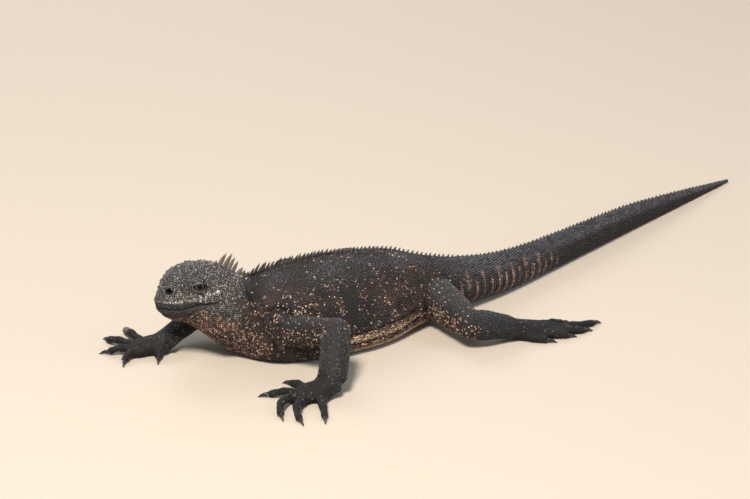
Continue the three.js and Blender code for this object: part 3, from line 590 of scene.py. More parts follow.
def markings(points, rng=None):
    """Colours of the hide at points in mm: with rng each point is one scale and draws its own granule colour.

    The numbers in ramp and bands are mm along the spine, or degrees from the back where they weigh the angle.
    """
    r = regions(points)
    s, turned, over, shank = r["s"], r["turned"], r["over"], r["shank"]
    head, throat, limb, tail, belly = r["head"], r["throat"], r["limb"], r["tail"], r["belly"]
    count = len(points)

    def plain(name):
        return np.tile(TINTS[name], (count, 1))

    broad, medium, small = cloud(points, 26, 3), cloud(points, 9, 4), cloud(points, 3.6, 8)
    streaks = cloud(points, (34, 7, 9), 5)
    mottled = cloud(points, (7, 7, 26), 6)

    # trunk: black with brown clouds, greyer above with a painted sheen, with blush bands that run down the
    # flank
    trunk = blend(plain("black"), TINTS["charcoal"], 0.55 + 0.7 * medium)
    haze = np.clip(0.35 + 1.0 * streaks + 0.6 * medium, 0, 0.9)
    trunk = blend(trunk, TINTS["brown"], haze * ramp(turned, 20, 46))
    wobble = s + 4 * broad - 0.25 * (turned - 50)
    slanted = bands(wobble, (112, 131, 150, 174, 199, 227, 244, 266), 3.9) * ramp(turned, 26, 52)
    slanted = slanted * np.clip(0.75 + 0.9 * medium, 0.15, 1.2)
    trunk = blend(trunk, TINTS["brown"], 0.5 * slanted)
    # painted sheen: slate on the back stands in for the sky's reflection on its top, over the hide's own dark
    # streaks
    sheen_grey_back = blend(plain("slate"), TINTS["umber"], np.clip(0.5 + 0.9 * streaks, 0, 0.85))
    base = blend(trunk, sheen_grey_back, 0.8 * r["back"])

    # tail: slate above, nearly black below, with blush bars on the sides of its front half
    above = blend(plain("slate"), TINTS["grey"], 0.4 + 0.4 * mottled)
    below = blend(plain("black"), TINTS["umber"], 0.35)
    base = blend(base, blend(above, below, 0.85 * ramp(turned, 46, 74)), tail)
    pitch, half_width, first = 9.2, 1.8, 288
    phase = (s - first) / pitch
    taller = 22 * (np.round(phase) % 2)
    bars = bell((phase - np.round(phase)) * pitch, 0, half_width)
    bars = bars * between(s, 280, 292, 385, 435) * ramp(turned, 62 - taller, 76 - taller)
    bars = bars * np.clip(0.8 + 0.8 * medium, 0, 1) * (1 - limb)
    base = blend(base, TINTS["blush"], 0.45 * bars)

    # belly: rusty, with pale rims along its folds
    under = blend(plain("umber"), TINTS["rust"], 0.5 + 0.5 * medium)
    ventral = ramp(turned, 80, 92) * between(s, 128, 146, 236, 256) * (1 - limb)
    base = blend(base, under, 0.7 * np.maximum(belly, ventral))
    rim = np.maximum(ramp(turned, 104, 114), 0.75 * bell(turned, 92.5, 1.7))
    rim = rim * between(s, 132, 152, 232, 254) * (1 - limb)
    base = blend(base, TINTS["cream"], 0.65 * rim)

    # head: ash and slate over a rusty throat, with dark smooth lips
    base = blend(base, blend(plain("grey"), TINTS["ash"], 0.55 + 0.6 * medium), head)
    gular = blend(plain("umber"), TINTS["rust"], 0.35 + 0.5 * medium + 0.3 * (1 - ramp(s, 20, 50)))
    base = blend(base, gular, 0.85 * throat)
    base = blend(base, TINTS["lip"], 0.94 * r["lips"])

    # limbs: slate above, darker in front and below; feet nearly black
    lit = ramp(over, 6, 12) * (0.8 + 0.3 * medium)
    sooty = blend(blend(plain("charcoal"), TINTS["black"], 0.4 + 0.5 * medium), TINTS["slate"], lit)
    sooty = blend(sooty, TINTS["slate"], 0.75 * shank)
    sooty = blend(sooty, TINTS["black"], 0.85 * r["foot"]) * (0.95 - 0.2 * shank)[:, None]
    limb_low = (1 - ramp(over, 2, 10)) * (1 - shank)
    sooty = blend(sooty, TINTS["black"], 0.5 * bell(over, 0, 4) * (1 - shank))
    sooty = blend(sooty, TINTS["brown"], 0.5 * limb_low)
    base = blend(base, sooty, limb)

    # painted shade: the hide darkened in its creases
    base = base * (1 - 0.75 * r["crease_shade"])[:, None]
    if rng is None:
        # painted highlight: a pale stone line along the mouth's gap
        mouth_gap_highlight = 1 - ramp(r["mouth"], 0.5, 1.3)
        return blend(base, TINTS["stone"], 0.75 * mouth_gap_highlight * (limb < 0.1))

    draw, shade = rng.random(count), rng.normal(0, 1, count)
    base = base * np.exp((0.17 + 0.12 * head) * shade)[:, None]
    face = head * (1 - throat)
    bare_of_lips = 1 - np.clip(r["lips"], 0, 1)
    crest_side = bell(turned, 0, 60)
    body = (1 - tail) * (1 - head) * (1 - limb) * (1 - throat)
    clustered = np.clip(0.5 + 1.5 * small, 0, 1.2)
    cheek = bell(s, 42, 13) * bell(r["gap"], 8, 4) * head
    cheek = cheek * (0.55 + 0.45 * np.cos(r["gap"] * 2 * math.pi / 3.2))
    front = (1 - ramp(s, 118, 140)) * ramp(turned, 30, 50)
    # painted shade: fewer pale specks under the breast and low on the chest
    front = front * (1 - 0.8 * bell(s, 98, 9) * ramp(turned, 70, 84)) * (1 - 0.6 * ramp(turned, 78, 94))
    # painted shade: fewer pale specks in the creases
    outside_crease_shade = 1 - 0.85 * r["crease_shade"]
    gular_hide = throat * (1 - ramp(r["lips"], 0.05, 0.4)) * outside_crease_shade
    specks = [
        # the granule's colour, its weight over the base, and how many of the scales have it in each region
        ("chalk", 0.80, (0.16 * clustered + 0.30 * r["label"] + 0.22 * cheek) * face * bare_of_lips),
        ("stone", 0.75, (0.30 + 0.2 * cheek) * face * bare_of_lips),
        ("black", 0.75, (0.20 + 0.12 * crest_side) * face * (1 - cheek)),
        ("blush", 0.75, 0.26 * gular_hide),
        ("ochre", 0.75, 0.16 * gular_hide * (0.3 + 0.7 * (1 - ramp(s, 20, 46)))),
        ("cream", 0.80, 0.07 * gular_hide),
        ("blush", 0.80, (0.025 + 0.17 * slanted + 0.07 * front) * body * outside_crease_shade),
        ("cream", 0.80, (0.015 + 0.05 * slanted + 0.07 * front) * body * outside_crease_shade),
        ("rust", 0.80, (0.06 + 0.16 * slanted) * body * ramp(turned, 20, 44)),
        # painted sheen: grey granules on the back
        ("grey", 0.70, 0.20 * r["back"] * body),
        ("blush", 0.45, 0.6 * bars),
        ("black", 0.60, 0.20 * tail * (1 - bars)),
        ("cream", 0.85, 0.5 * rim + 0.08 * ventral),
        ("blush", 0.70, 0.16 * ventral),
        ("stone", 0.45, (0.03 + 0.10 * shank * (1 - r["hind"])) * limb * (1 - r["foot"])),
        ("blush", 0.80, (0.17 * limb_low + 0.03 * (1 - shank)) * limb),
        ("cream", 0.80, (0.11 * limb_low + 0.02 * (1 - shank)) * limb),
        ("rust", 0.70, 0.10 * limb * (1 - shank)),
        ("stone", 0.55, 0.04 * r["foot"] * limb),
    ]
    passed = np.zeros(count)
    for name, weight, share in specks:
        chosen = (draw >= passed) & (draw < passed + share)
        spotted = blend(base, TINTS[name], weight * (0.5 + 0.5 * rng.random(count)))
        base = np.where(chosen[:, None], spotted, base)
        passed = passed + share
    return np.clip(base, 0.002, 1)


# Small makers
def new_object(name, points, faces, material=None):
    """A mesh object from points in mm."""
    mesh = bpy.data.meshes.new(name)
    mesh.from_pydata((np.asarray(points) * MM).tolist(), [], faces)
    mesh.update()
    thing = bpy.data.objects.new(name, mesh)
    bpy.context.scene.collection.objects.link(thing)
    if material:
        mesh.materials.append(material)
    return thing


def join_shells(shells):
    points, faces, done = [], [], 0
    for shell_points, shell_faces in shells:
        points.append(shell_points)
        faces += [tuple(i + done for i in face) for face in shell_faces]
        done += len(shell_points)
    return np.concatenate(points), faces


def outwards(thing):
    work = bmesh.new()
    work.from_mesh(thing.data)
    bmesh.ops.recalc_face_normals(work, faces=work.faces)
    work.to_mesh(thing.data)
    work.free()


def made(thing):
    """Gives the object its evaluated mesh in place of its modifiers."""
    graph = bpy.context.evaluated_depsgraph_get()
    shown = thing.evaluated_get(graph)
    mesh = bpy.data.meshes.new_from_object(shown, preserve_all_data_layers=True, depsgraph=graph)
    old = thing.data
    thing.modifiers.clear()
    thing.data = mesh
    bpy.data.meshes.remove(old)


def read_points(mesh):
    points = np.empty(len(mesh.vertices) * 3)
    mesh.vertices.foreach_get("co", points)
    return points.reshape(-1, 3) / MM


def write_points(mesh, points):
    mesh.vertices.foreach_set("co", (points * MM).ravel())
    mesh.update()


def read_normals(mesh):
    normals = np.empty(len(mesh.vertices) * 3)
    mesh.vertex_normals.foreach_get("vector", normals)
    return normals.reshape(-1, 3)


def relax(mesh, points, weight, rounds):
    """Moves each point towards the mean of its neighbours."""
    edges = np.empty(len(mesh.edges) * 2, int)
    mesh.edges.foreach_get("vertices", edges)
    a, b = edges.reshape(-1, 2).T
    count = len(points)
    degree = np.bincount(a, minlength=count) + np.bincount(b, minlength=count)
    for _ in range(rounds):
        total = np.stack([np.bincount(a, line[b], count) + np.bincount(b, line[a], count)
                          for line in points.T], 1)
        points = points + (total / np.maximum(degree, 1)[:, None] - points) * weight[:, None]
    return points


def store(mesh, name, kind, values):
    attribute = mesh.attributes.new(name, kind, "POINT")
    key = {"FLOAT": "value", "FLOAT_VECTOR": "vector", "FLOAT_COLOR": "color"}[kind]
    attribute.data.foreach_set(key, np.ascontiguousarray(values, np.float32).ravel())


def store_tint(mesh, tints):
    store(mesh, "tint", "FLOAT_COLOR", np.concatenate([tints, np.ones((len(tints), 1))], 1))


def finish_piece(thing, slot, *nodes):
    """Smooth shading, and the piece's body and the nodes that it stands for; the slot is not used."""
    thing.data.polygons.foreach_set("use_smooth", [True] * len(thing.data.polygons))
    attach(thing, BODY)
    if nodes:
        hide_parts(*nodes)


def add(tree, kind, inputs=None, **settings):
    """Adds a node with its settings, and links or sets its inputs."""
    node = tree.nodes.new(kind)
    for name, value in settings.items():
        setattr(node, name, value)
    for key, value in (inputs or {}).items():
        if isinstance(value, bpy.types.NodeSocket):
            tree.links.new(value, node.inputs[key])
        else:
            node.inputs[key].default_value = value
    return node


def new_material(name):
    material = bpy.data.materials.new(name)
    material.use_nodes = True
    material.node_tree.nodes.clear()
    return material, material.node_tree


def shaded(tree, inputs):
    shader = add(tree, "ShaderNodeBsdfPrincipled", inputs)
    add(tree, "ShaderNodeOutputMaterial", {"Surface": shader.outputs["BSDF"]})


# Materials. Dry keratin glints a little less than a smooth plastic of the same roughness
SOFT_GLINT = {"Specular IOR Level": 0.35}


def shaded_tint(tree, shade):
    """The surface's own tint, made darker and brighter by a mapped value."""
    tint = add(tree, "ShaderNodeAttribute", attribute_name="tint").outputs["Color"]
    mapped = add(tree, "ShaderNodeMapRange", shade).outputs[0]
    mixed = add(tree, "ShaderNodeMix", {0: 1.0, 6: tint, 7: mapped}, data_type="RGBA", blend_type="MULTIPLY")
    return mixed.outputs[2]


def grained(name, scale, detail, tones, rough, bump=None, **gloss):
    """A finish with fine grain, its scale per metre: over the surface's own tint, or between two hex colours.

    Tones, and rough where it is a pair, are for the grain's low and high side. Bump is strength and mm deep.
    """
    material, tree = new_material(name)
    place = add(tree, "ShaderNodeTexCoord").outputs["Object"]
    noise = add(tree, "ShaderNodeTexNoise", {"Vector": place, "Scale": scale, "Detail": detail})
    grain = noise.outputs["Fac"]
    if isinstance(tones[0], str):
        ramped = add(tree, "ShaderNodeValToRGB", {"Fac": grain})
        for stop, code in zip(ramped.color_ramp.elements, tones):
            stop.color = (*colour(code), 1)
        base = ramped.outputs["Color"]
    else:
        low, high = tones
        spread = {"From Min": 0.3, "From Max": 0.7, "To Min": low, "To Max": high}
        base = shaded_tint(tree, {"Value": grain, **spread})
    if isinstance(rough, tuple):
        low, high = rough
        rough = add(tree, "ShaderNodeMapRange", {"Value": grain, "To Min": low, "To Max": high}).outputs[0]
    if bump:
        strength, depth = bump
        raised = add(tree, "ShaderNodeBump", {"Height": grain, "Strength": strength, "Distance": depth * MM})
        gloss["Normal"] = raised.outputs["Normal"]
    shaded(tree, {"Base Color": base, "Roughness": rough, **gloss})
    return material


def hide_between_scales():
    """Leathery reptile skin: matt, darker than the scales that it shows between, with fine folds."""
    material, tree = new_material("leathery_skin_between_scales")
    place = add(tree, "ShaderNodeTexCoord").outputs["Object"]
    # grains 0.9 mm apart, the finest that shows
    cells = add(tree, "ShaderNodeTexVoronoi", {"Vector": place, "Scale": 1100.0}, feature="F1")
    grain = cells.outputs["Distance"]
    base = shaded_tint(tree, {"Value": grain, "From Max": 0.6, "To Min": 0.85, "To Max": 0.35})
    bump = add(tree, "ShaderNodeBump", {"Height": grain, "Strength": 0.55, "Distance": 0.4 * MM}, invert=True)
    shaded(tree, {"Base Color": base, "Roughness": 0.72, "Normal": bump.outputs["Normal"], **SOFT_GLINT})
    return material


def scale_horn(name, rough):
    """Thin keratin over each scale: a dry satin with a soft glint, its colour drawn scale by scale."""
    # dust and wear in patches of about 1 mm
    return grained(name, 900.0, 3.0, (0.72, 1.25), (rough - 0.12, rough + 0.12), (0.25, 0.2), **SOFT_GLINT)


def claw_horn():
    """Black claw horn, streaked lengthways: black to dark brown and glossy to satin by its grain."""
    # growth streaks about 0.4 mm apart
    return grained("black_claw_horn", 2200.0, 2.0, ("#0f0d0d", "#292220"), (0.28, 0.5), (0.2, 0.2))


def crest_horn():
    """Grey-brown crest keratin: dry satin, paler towards the tips, with lengthwise grain."""
    # grain about 0.5 mm apart
    return grained("grey_crest_keratin", 1800.0, 3.0, (0.65, 1.3), 0.5, (0.3, 0.2))


def wet_eye():
    """Wet eyeball: clear and mirror-smooth over a brown iris round a black pupil."""
    # iris fibres about 0.3 mm apart
    return grained("wet_brown_eye", 3000.0, 2.0, (0.7, 1.3), 0.08, IOR=1.38, **SOFT_GLINT)


def studio_floor():
    """Matt painted board, plain and pale, with a trace of roller texture."""
    # roller texture about 3 mm across
    return grained("pale_painted_board", 320.0, 2.0, ("#ada498", "#b5ada1"), 0.85, (0.05, 0.3))


# Geometry node trees
def tree_with(name, sockets):
    """A geometry node tree with named inputs; returns it, its inputs, its output and their identifiers."""
    tree = bpy.data.node_groups.new(name, "GeometryNodeTree")
    known = {}
    for socket_name, kind in sockets:
        socket = tree.interface.new_socket(name=socket_name, in_out="INPUT", socket_type=f"NodeSocket{kind}")
        known[socket_name] = socket.identifier
    tree.interface.new_socket(name="Geometry", in_out="OUTPUT", socket_type="NodeSocketGeometry")
    return tree, tree.nodes.new("NodeGroupInput").outputs, tree.nodes.new("NodeGroupOutput"), known


def attribute(tree, name, kind="FLOAT_VECTOR"):
    return add(tree, "GeometryNodeInputNamedAttribute", {"Name": name}, data_type=kind).outputs[0]


def set_shapes(tree, given, output, points, rotation, size):
    """Ends a tree: the shape on each point, made real and given its finish."""
    shape = add(tree, "GeometryNodeObjectInfo", {"Object": given["Shape"]}).outputs["Geometry"]
    placed = add(tree, "GeometryNodeInstanceOnPoints",
                 {"Points": points, "Instance": shape, "Rotation": rotation, "Scale": size})
    real = add(tree, "GeometryNodeRealizeInstances", {"Geometry": placed.outputs[0]})
    finished = add(tree, "GeometryNodeSetMaterial",
                   {"Geometry": real.outputs[0], "Material": given["Finish"]})
    tree.links.new(finished.outputs[0], output.inputs[0])


def scales_over_skin():
    """Scatters one scale shape over a region of the skin, at least a spacing apart, lying with the hide."""
    tree, given, output, known = tree_with("Scales over skin", [
        ("Skin", "Geometry"), ("Shape", "Object"), ("Region", "String"), ("Spacing", "Float"),
        ("Size", "Float"), ("Variation", "Float"), ("Seed", "Int"), ("Finish", "Material")])

    def maths(operation, a, b):
        return add(tree, "ShaderNodeMath", {0: a, 1: b}, operation=operation).outputs[0]

    chosen = add(tree, "FunctionNodeCompare", {0: attribute(tree, given["Region"], "FLOAT"), 1: 0.5},
                 data_type="FLOAT", operation="GREATER_THAN")
    # more points than fit at the spacing, so that the scales lie close
    density = maths("DIVIDE", 5.0, maths("MULTIPLY", given["Spacing"], given["Spacing"]))
    points = add(tree, "GeometryNodeDistributePointsOnFaces",
                 {"Mesh": given["Skin"], "Selection": chosen.outputs[0], "Distance Min": given["Spacing"],
                  "Density Max": density, "Seed": given["Seed"]}, distribute_method="POISSON").outputs
    turned = add(tree, "FunctionNodeAlignRotationToVector",
                 {"Rotation": points["Rotation"], "Vector": attribute(tree, "lie")},
                 axis="X", pivot_axis="Z")
    least, most = (maths(operation, 1.0, given["Variation"]) for operation in ("SUBTRACT", "ADD"))
    random = add(tree, "FunctionNodeRandomValue", {2: least, 3: most, "Seed": given["Seed"]},
                 data_type="FLOAT")
    size = maths("MULTIPLY", given["Size"], random.outputs[1])
    size = maths("MULTIPLY", size, attribute(tree, "grow", "FLOAT"))
    set_shapes(tree, given, output, points["Points"], turned.outputs[0], size)
    return tree, known


def shapes_on_points():
    """Sets one shape on each point of a mesh, by the point's own directions and sizes."""
    tree, given, output, known = tree_with("Shapes on points", [
        ("Points", "Geometry"), ("Shape", "Object"), ("Finish", "Material")])
    out, lie, size = (attribute(tree, name) for name in ("out", "lie", "size"))
    upright = add(tree, "FunctionNodeAlignRotationToVector", {"Vector": out}, axis="Z")
    turned = add(tree, "FunctionNodeAlignRotationToVector", {"Rotation": upright.outputs[0], "Vector": lie},
                 axis="X", pivot_axis="Z")
    points = add(tree, "GeometryNodeMeshToPoints", {"Mesh": given["Points"]})
    set_shapes(tree, given, output, points.outputs[0], turned.outputs[0], size)
    return tree, known


def run_tree(name, carrier, tree, known, values):
    """A new object holding what the tree makes of a mesh."""
    thing = bpy.data.objects.new(name, carrier)
    bpy.context.scene.collection.objects.link(thing)
    modifier = thing.modifiers.new("Growth", "NODES")
    modifier.node_group = tree
    for key, value in values.items():
        modifier[known[key]] = value
    made(thing)
    thing.data.name = name
    return thing


def on_points(name, roots, guides, shape, finish):
    """A new object with one copy of the shape at each root, by guides that give its directions and sizes."""
    carrier = bpy.data.meshes.new(name)
    carrier.from_pydata((roots * MM).tolist(), [], [])
    for guide, values in guides.items():
        store(carrier, guide, "FLOAT_VECTOR", values)
    return run_tree(name, carrier, *shapes_on_points(), {"Shape": shape, "Finish": finish})


CORNERS = 6


def template(name, rings):
    """A small closed shape from rings of (height, half length, half width, shift), the last one a point."""
    points, faces = [], []
    turns = np.linspace(0, 2 * math.pi, CORNERS, endpoint=False)
    for height, long, wide, shift in rings[:-1]:
        points += [(long * math.cos(a) + shift, wide * math.sin(a), height) for a in turns]
    height, _, _, shift = rings[-1]
    points.append((shift, 0, height))
    top = (len(rings) - 2) * CORNERS
    for k in range(CORNERS):
        n = (k + 1) % CORNERS
        faces += [(i + k, i + n, i + CORNERS + n, i + CORNERS + k) for i in range(0, top, CORNERS)]
        faces.append((top + k, top + n, top + CORNERS))
    faces.append(tuple(reversed(range(CORNERS))))
    thing = new_object(name, np.array(points) / MM, faces)
    thing.hide_render = True
    return thing


def unwrap(points):
    """An unwrap of the skin's own shape: body and tail as one strip, the four limbs as strips above it."""
    s, angle, outside = places(points)
    reached, number, distance, _ = limb_place(points)
    limb = (outside > 4) & (distance < LIMB_REACH) & (s < 340)
    body = np.stack([0.01 + 0.97 * s / TIP, 0.3 + 0.28 * angle / 180], 1)
    middle_height, longest = 15, 190
    around = np.arctan2(points[:, 2] - middle_height, points[:, 0] + points[:, 1]) / math.pi
    along_limb = np.clip(reached / longest, 0, 1)
    strip = np.stack([0.02 + 0.9 * along_limb, 0.66 + 0.09 * number + 0.035 * around], 1)
    return np.where(limb[:, None], strip, body)


# What the skin and the rows of points guide the scales by, which the finished scales no longer need
GUIDES = ("tint", "lie", "grow", "out", "size", "crown", "face", "lip", "belly", "chest", "loin", "arm",
          "leg", "hand", "foot")
PATCH = 0.003


def dress(mesh, shape, roots, tints):
    """Gives the copies of a shape their colours and their patches of the bake map, and removes the shape.

    Each patch lies where the copy's root lies on the skin's unwrap.
    """
    for name in GUIDES:
        if name in mesh.attributes:
            mesh.attributes.remove(mesh.attributes[name])
    store_tint(mesh, tints)
    flat = read_points(shape.data)[:, :2] * MM
    patch = flat / np.abs(flat).max() * PATCH / 2
    uv = (unwrap(roots)[:, None] + patch[None]).reshape(-1, 2)
    loops = np.empty(len(mesh.loops), int)
    mesh.loops.foreach_get("vertex_index", loops)
    layer = mesh.uv_layers.new(name="OFBake")
    layer.data.foreach_set("uv", uv[loops].astype(np.float32).ravel())
    bpy.data.objects.remove(shape)


def dress_scales(mesh, shape, rng, shared=None):
    """Keeps the scales above the floor and gives each one its own colour, or its shade of a shared one."""
    each = len(shape.data.vertices)
    points = read_points(mesh)
    points[:, 2] = np.maximum(points[:, 2], 0)
    write_points(mesh, points)
    count = len(points) // each
    roots = points.reshape(count, each, 3)[:, :CORNERS].mean(1)
    tints = markings(roots, rng) if shared is None else shared * np.exp(0.3 * rng.normal(0, 1, (count, 1)))
    dress(mesh, shape, roots, np.repeat(tints, each, axis=0))


# Sizes and colours that a user would change
def length(name, description, default, least):
    return bpy.props.FloatProperty(name=name, description=description, default=default * MM, min=least * MM,
                                   unit="LENGTH")


def paint_colour(name, description, code):
    return bpy.props.FloatVectorProperty(name=name, description=description, subtype="COLOR", size=3,
                                         default=colour(code), min=0, max=1)


class IguanaSizes(bpy.types.PropertyGroup):
    """Sizes of the hide and its scales."""

    voxel: length("Skin grid", "Size of the skin's faces", 1.7, 0.5)
    coat: length("Coat depth", "How far the skin lies under the scales' tops", 0.6, 0)
    face: length("Face scales", "Spacing of the granules of the face", 1.25, 0.8)
    crown: length("Crown scales", "Spacing of the conical scales of snout and crown", 3.5, 1)
    trunk: length("Body scales", "Spacing of the scales of neck and trunk", 1.5, 1)
    limb: length("Limb scales", "Spacing of the scales of arms and legs", 1.5, 1)
    foot: length("Foot scales", "Spacing of the scales of hands, feet and digits", 1.3, 0.8)
    whorl: length("Tail whorls", "Length of one ring of keeled tail scales", 3.1, 1.5)


class IguanaColours(bpy.types.PropertyGroup):
    """Colours that the whole scene shares."""

    iris: paint_colour("Iris", "Colour of the iris", "#2b2320")
    crest: paint_colour("Crest", "Colour of the crest's spines", "#5e554c")


# Operators

# In mm along the spine: the ends of the head's fine detail and of the neck, and the starts of loin and tail.
# In mm along a limb: the start of its foot
HEAD_END, NECK_END, LOIN_START, TAIL_START, FOOT_START = 62, 80, 170, 300, 118
# Half sizes of the eye sockets and of the area under the lids, and how far over the eyeball's middle the skin
# may stand in a socket
SOCKET = dict(long=6.1, tall=4.2, floor=4.0)
LIDDED = dict(long=6.8, tall=5.7)
# What small forms rise by in mm, or sink by where it is below 0
RELIEF = dict(
    nostril_rim=0.9, crown=1.2, mouth=-1.8, lips=0.7, long_wrinkle=0.35, cross_wrinkle=0.25, face=0.12)


def by_eye(points, sign):
    """Points in the eye's own axes, and its axis out of the head."""
    back, up, out, centre = eye_frame(sign)
    away = points - centre
    return away @ back, away @ up, away @ out, out


def ball_rings(centre, axes, tilt, long, tall, sides):
    """Rings of a ball, or a lens where it is less tall than long, by their tilt from its last axis."""
    back, up, out = axes
    around = np.linspace(0, 2 * math.pi, sides, endpoint=False)[None, :, None]
    tilt, long, tall = (np.broadcast_to(v, len(tilt))[:, None, None] for v in (tilt, long, tall))
    across = np.cos(around) * back + np.sin(around) * up
    return centre + tall * np.cos(tilt) * out + long * np.sin(tilt) * across


class IGUANA_OT_skin(bpy.types.Operator):
    """One skin drawn over body, limbs and digits, with its folds, mouth, nostrils and eye sockets."""

    bl_idname = "iguana.skin"
    bl_label = "Skin"

    def execute(self, context):
        sizes = context.scene.iguana_sizes
        s = np.concatenate([np.arange(0, 8, 0.8), np.arange(8, TIP, 1.6), [TIP]])
        turns = np.linspace(0, 360, 96, endpoint=False)
        wall = loft(body_point(s[:, None], turns[None], -sizes.coat / MM))
        domes = [self.lid_dome(sign) for _, sign in SIDES]
        skin = new_object("skin", *join_shells([wall, *limb_shells(), *domes]))
        remesh = skin.modifiers.new("One skin", "REMESH")
        remesh.mode = "VOXEL"
        remesh.voxel_size = sizes.voxel
        made(skin)
        self.refine_head(skin.data)
        self.sculpt(skin.data)
        outwards(skin)
        self.paint(skin.data)
        skin.data.materials.clear()
        skin.data.materials.append(hide_between_scales())
        finish_piece(skin, "body_skin", *FLESH)
        return {"FINISHED"}

    @staticmethod
    def lid_dome(sign):
        """A ball just proud of the eyeball, which the skin swells over."""
        *axes, centre = eye_frame(sign)
        radius = EYE["radius"] + 0.1
        return loft(ball_rings(centre, axes, np.linspace(0.05, math.pi - 0.05, 14), radius, radius, 24))

    @staticmethod
    def refine_head(mesh):
        """Splits the head's faces once, so that mouth, lids and nostrils stay sharp."""
        s, _, _ = places(read_points(mesh))
        work = bmesh.new()
        work.from_mesh(mesh)
        edges = [e for e in work.edges if all(s[v.index] < HEAD_END for v in e.verts)]
        bmesh.ops.subdivide_edges(work, edges=edges, cuts=1, use_grid_fill=True)
        work.to_mesh(mesh)
        work.free()
        mesh.update()

    @staticmethod
    def sculpt(mesh):
        """Smooths the grid's steps, fairs the limbs in, and presses folds, mouth, holes and sockets."""
        points = read_points(mesh)
        s, _, outside = places(points)
        points = relax(mesh, points, np.full(len(points), 0.5), 3)
        rooted = bell(outside, 3, 5) * (s > 84) * (s < TAIL_START) * (points[:, 2] > 4)
        wrists = [np.linalg.norm(points - np.array(limb["end"]), axis=1) for limb in LIMBS.values()]
        rooted = np.maximum(rooted, bell(np.min(wrists, 0), 0, 15) * (points[:, 2] > 2))
        points = relax(mesh, points, 0.55 * rooted, 24)
        write_points(mesh, points)
        normals = read_normals(mesh)
        s, angle, outside = places(points)
        shift, _ = creased(points, outside)
        for _, sign in SIDES:
            near = from_nostril(points, sign)
            hole, raised_rim = 1 - ramp(near, 0.6, 1.05), bell(near, 1.45, 0.3)
            shift += -NOSTRIL["deep"] * hole + RELIEF["nostril_rim"] * raised_rim
            ear = np.linalg.norm(points - body_point(EAR["at"], sign * EAR["angle"]), axis=1)
            shift += -EAR["deep"] * bell(ear, 0, EAR["reach"])
        shift += RELIEF["crown"] * (1 - ramp(np.abs(angle), 45, 75)) * between(s, 3, 12, 54, 66)
        mouth, _ = to_line(points, mouth_path())
        gap, lips = bell(mouth, 0, 0.9), bell(mouth, 3.4, 1.9) * (s < MOUTH_CORNER)
        shift += RELIEF["mouth"] * gap + RELIEF["lips"] * lips
        loose = (s > HEAD_END) & (points[:, 2] > 1)
        wrinkle = RELIEF["long_wrinkle"] * cloud(points, (5, 5, 16), 11)
        wrinkle += RELIEF["cross_wrinkle"] * cloud(points, (12, 4, 4), 12)
        wrinkle *= np.clip(HALF_WIDTH(s) / 30, 0.15, 1)
        shift += np.where(loose, wrinkle, RELIEF["face"] * cloud(points, 4, 13))
        points = points + normals * shift[:, None]
        for _, sign in SIDES:
            x, y, h, out = by_eye(points, sign)
            inside = (h > 0) & ((x / SOCKET["long"]) ** 2 + (y / SOCKET["tall"]) ** 2 < 1)
            sink = np.maximum(h - SOCKET["floor"], 0)
            points = np.where(inside[:, None], points - out * sink[:, None], points)
        points[:, 2] = np.maximum(points[:, 2], 0)
        write_points(mesh, points)

    @staticmethod
    def paint(mesh):
        """Colours of the skin, and what the scales are grown by: regions, size and lie."""
        points = read_points(mesh)
        r = regions(points)
        s, z, limb, reached = r["s"], r["z"], r["limb"], r["reached"]
        tints = markings(points) * (0.5 + 0.5 * r["lips"])[:, None]
        eye_near = hole_near = np.full(len(points), np.inf)
        for _, sign in SIDES:
            x, y, h, _ = by_eye(points, sign)
            lids = np.hypot(x / LIDDED["long"], y / LIDDED["tall"])
            eye_near = np.minimum(eye_near, np.where(np.abs(h) < FAR, lids, FAR))
            hole_near = np.minimum(hole_near, from_nostril(points, sign))
        # painted shade: the nostrils' holes darkened nearly to black
        tints = blend(tints, TINTS["black"] * 0.1, 1 - ramp(hole_near, 0.95, 1.2))
        # painted shade: the skin in the sockets, under the lids round the eyeballs, darkened
        tints = blend(tints, TINTS["black"] * 0.4, 1 - ramp(eye_near, 1.0, 1.3))
        store_tint(mesh, tints)
        bare = (r["mouth"] < 1.5) & (s < MOUTH_CORNER + 1) | (hole_near < 1.15) | (eye_near < 1.0) | (z < 0.3)
        on_limb, hind = limb >= 0.5, r["number"] >= 2
        head = (s < NECK_END) & ~on_limb
        lip = head & (r["lips"] > 0.55)
        head = head & ~lip
        foot = on_limb & (reached > FOOT_START)
        belly = ~on_limb & (r["turned"] > 128) & (s > 92) & (s < TAIL_START)
        trunk = (s >= NECK_END) & ~belly & ~on_limb & (s < TAIL_START)
        shaft = on_limb & ~foot
        covers = dict(
            crown=head & (r["turned"] < 50) & (s < 66) & (z > 66), face=head, lip=lip, belly=belly,
            chest=trunk & (s < LOIN_START), loin=trunk & (s >= LOIN_START),
            arm=shaft & ~hind, leg=shaft & hind, hand=foot & ~hind, foot=foot & hind,
        )
        for name, chosen in covers.items():
            store(mesh, name, "FLOAT", (chosen & ~bare).astype(float))
        # smaller at the snout's tip and round the eyes, larger on the cheeks and over the lips
        cheek = bell(s, 42, 13) * bell(r["gap"], 7.5, 4.5) * (s < HEAD_END)
        size = (1 + 0.25 * cloud(points, 18, 14)) * (1 - 0.25 * (1 - ramp(s, 4, 20)))
        size = size * (1 + 0.6 * cheek + 0.4 * r["label"])
        size = size * (1 - 0.25 * bell(eye_near, 1.25, 0.22))
        store(mesh, "grow", "FLOAT", size)
        lie = tailwards(s)
        for k, form in enumerate(LIMBS.values()):
            root, joint, end = bones(form)
            upper, lower = np.linalg.norm(joint - root), np.linalg.norm(end - joint)
            mine = (r["number"] == k) & (limb > 0.5)
            lie[mine] = (end - joint) / lower
            lie[mine & (reached < upper)] = (joint - root) / upper
            lie[mine & (reached > upper + lower)] = level(FEET[form["foot"]][0])
        store(mesh, "lie", "FLOAT_VECTOR", lie)


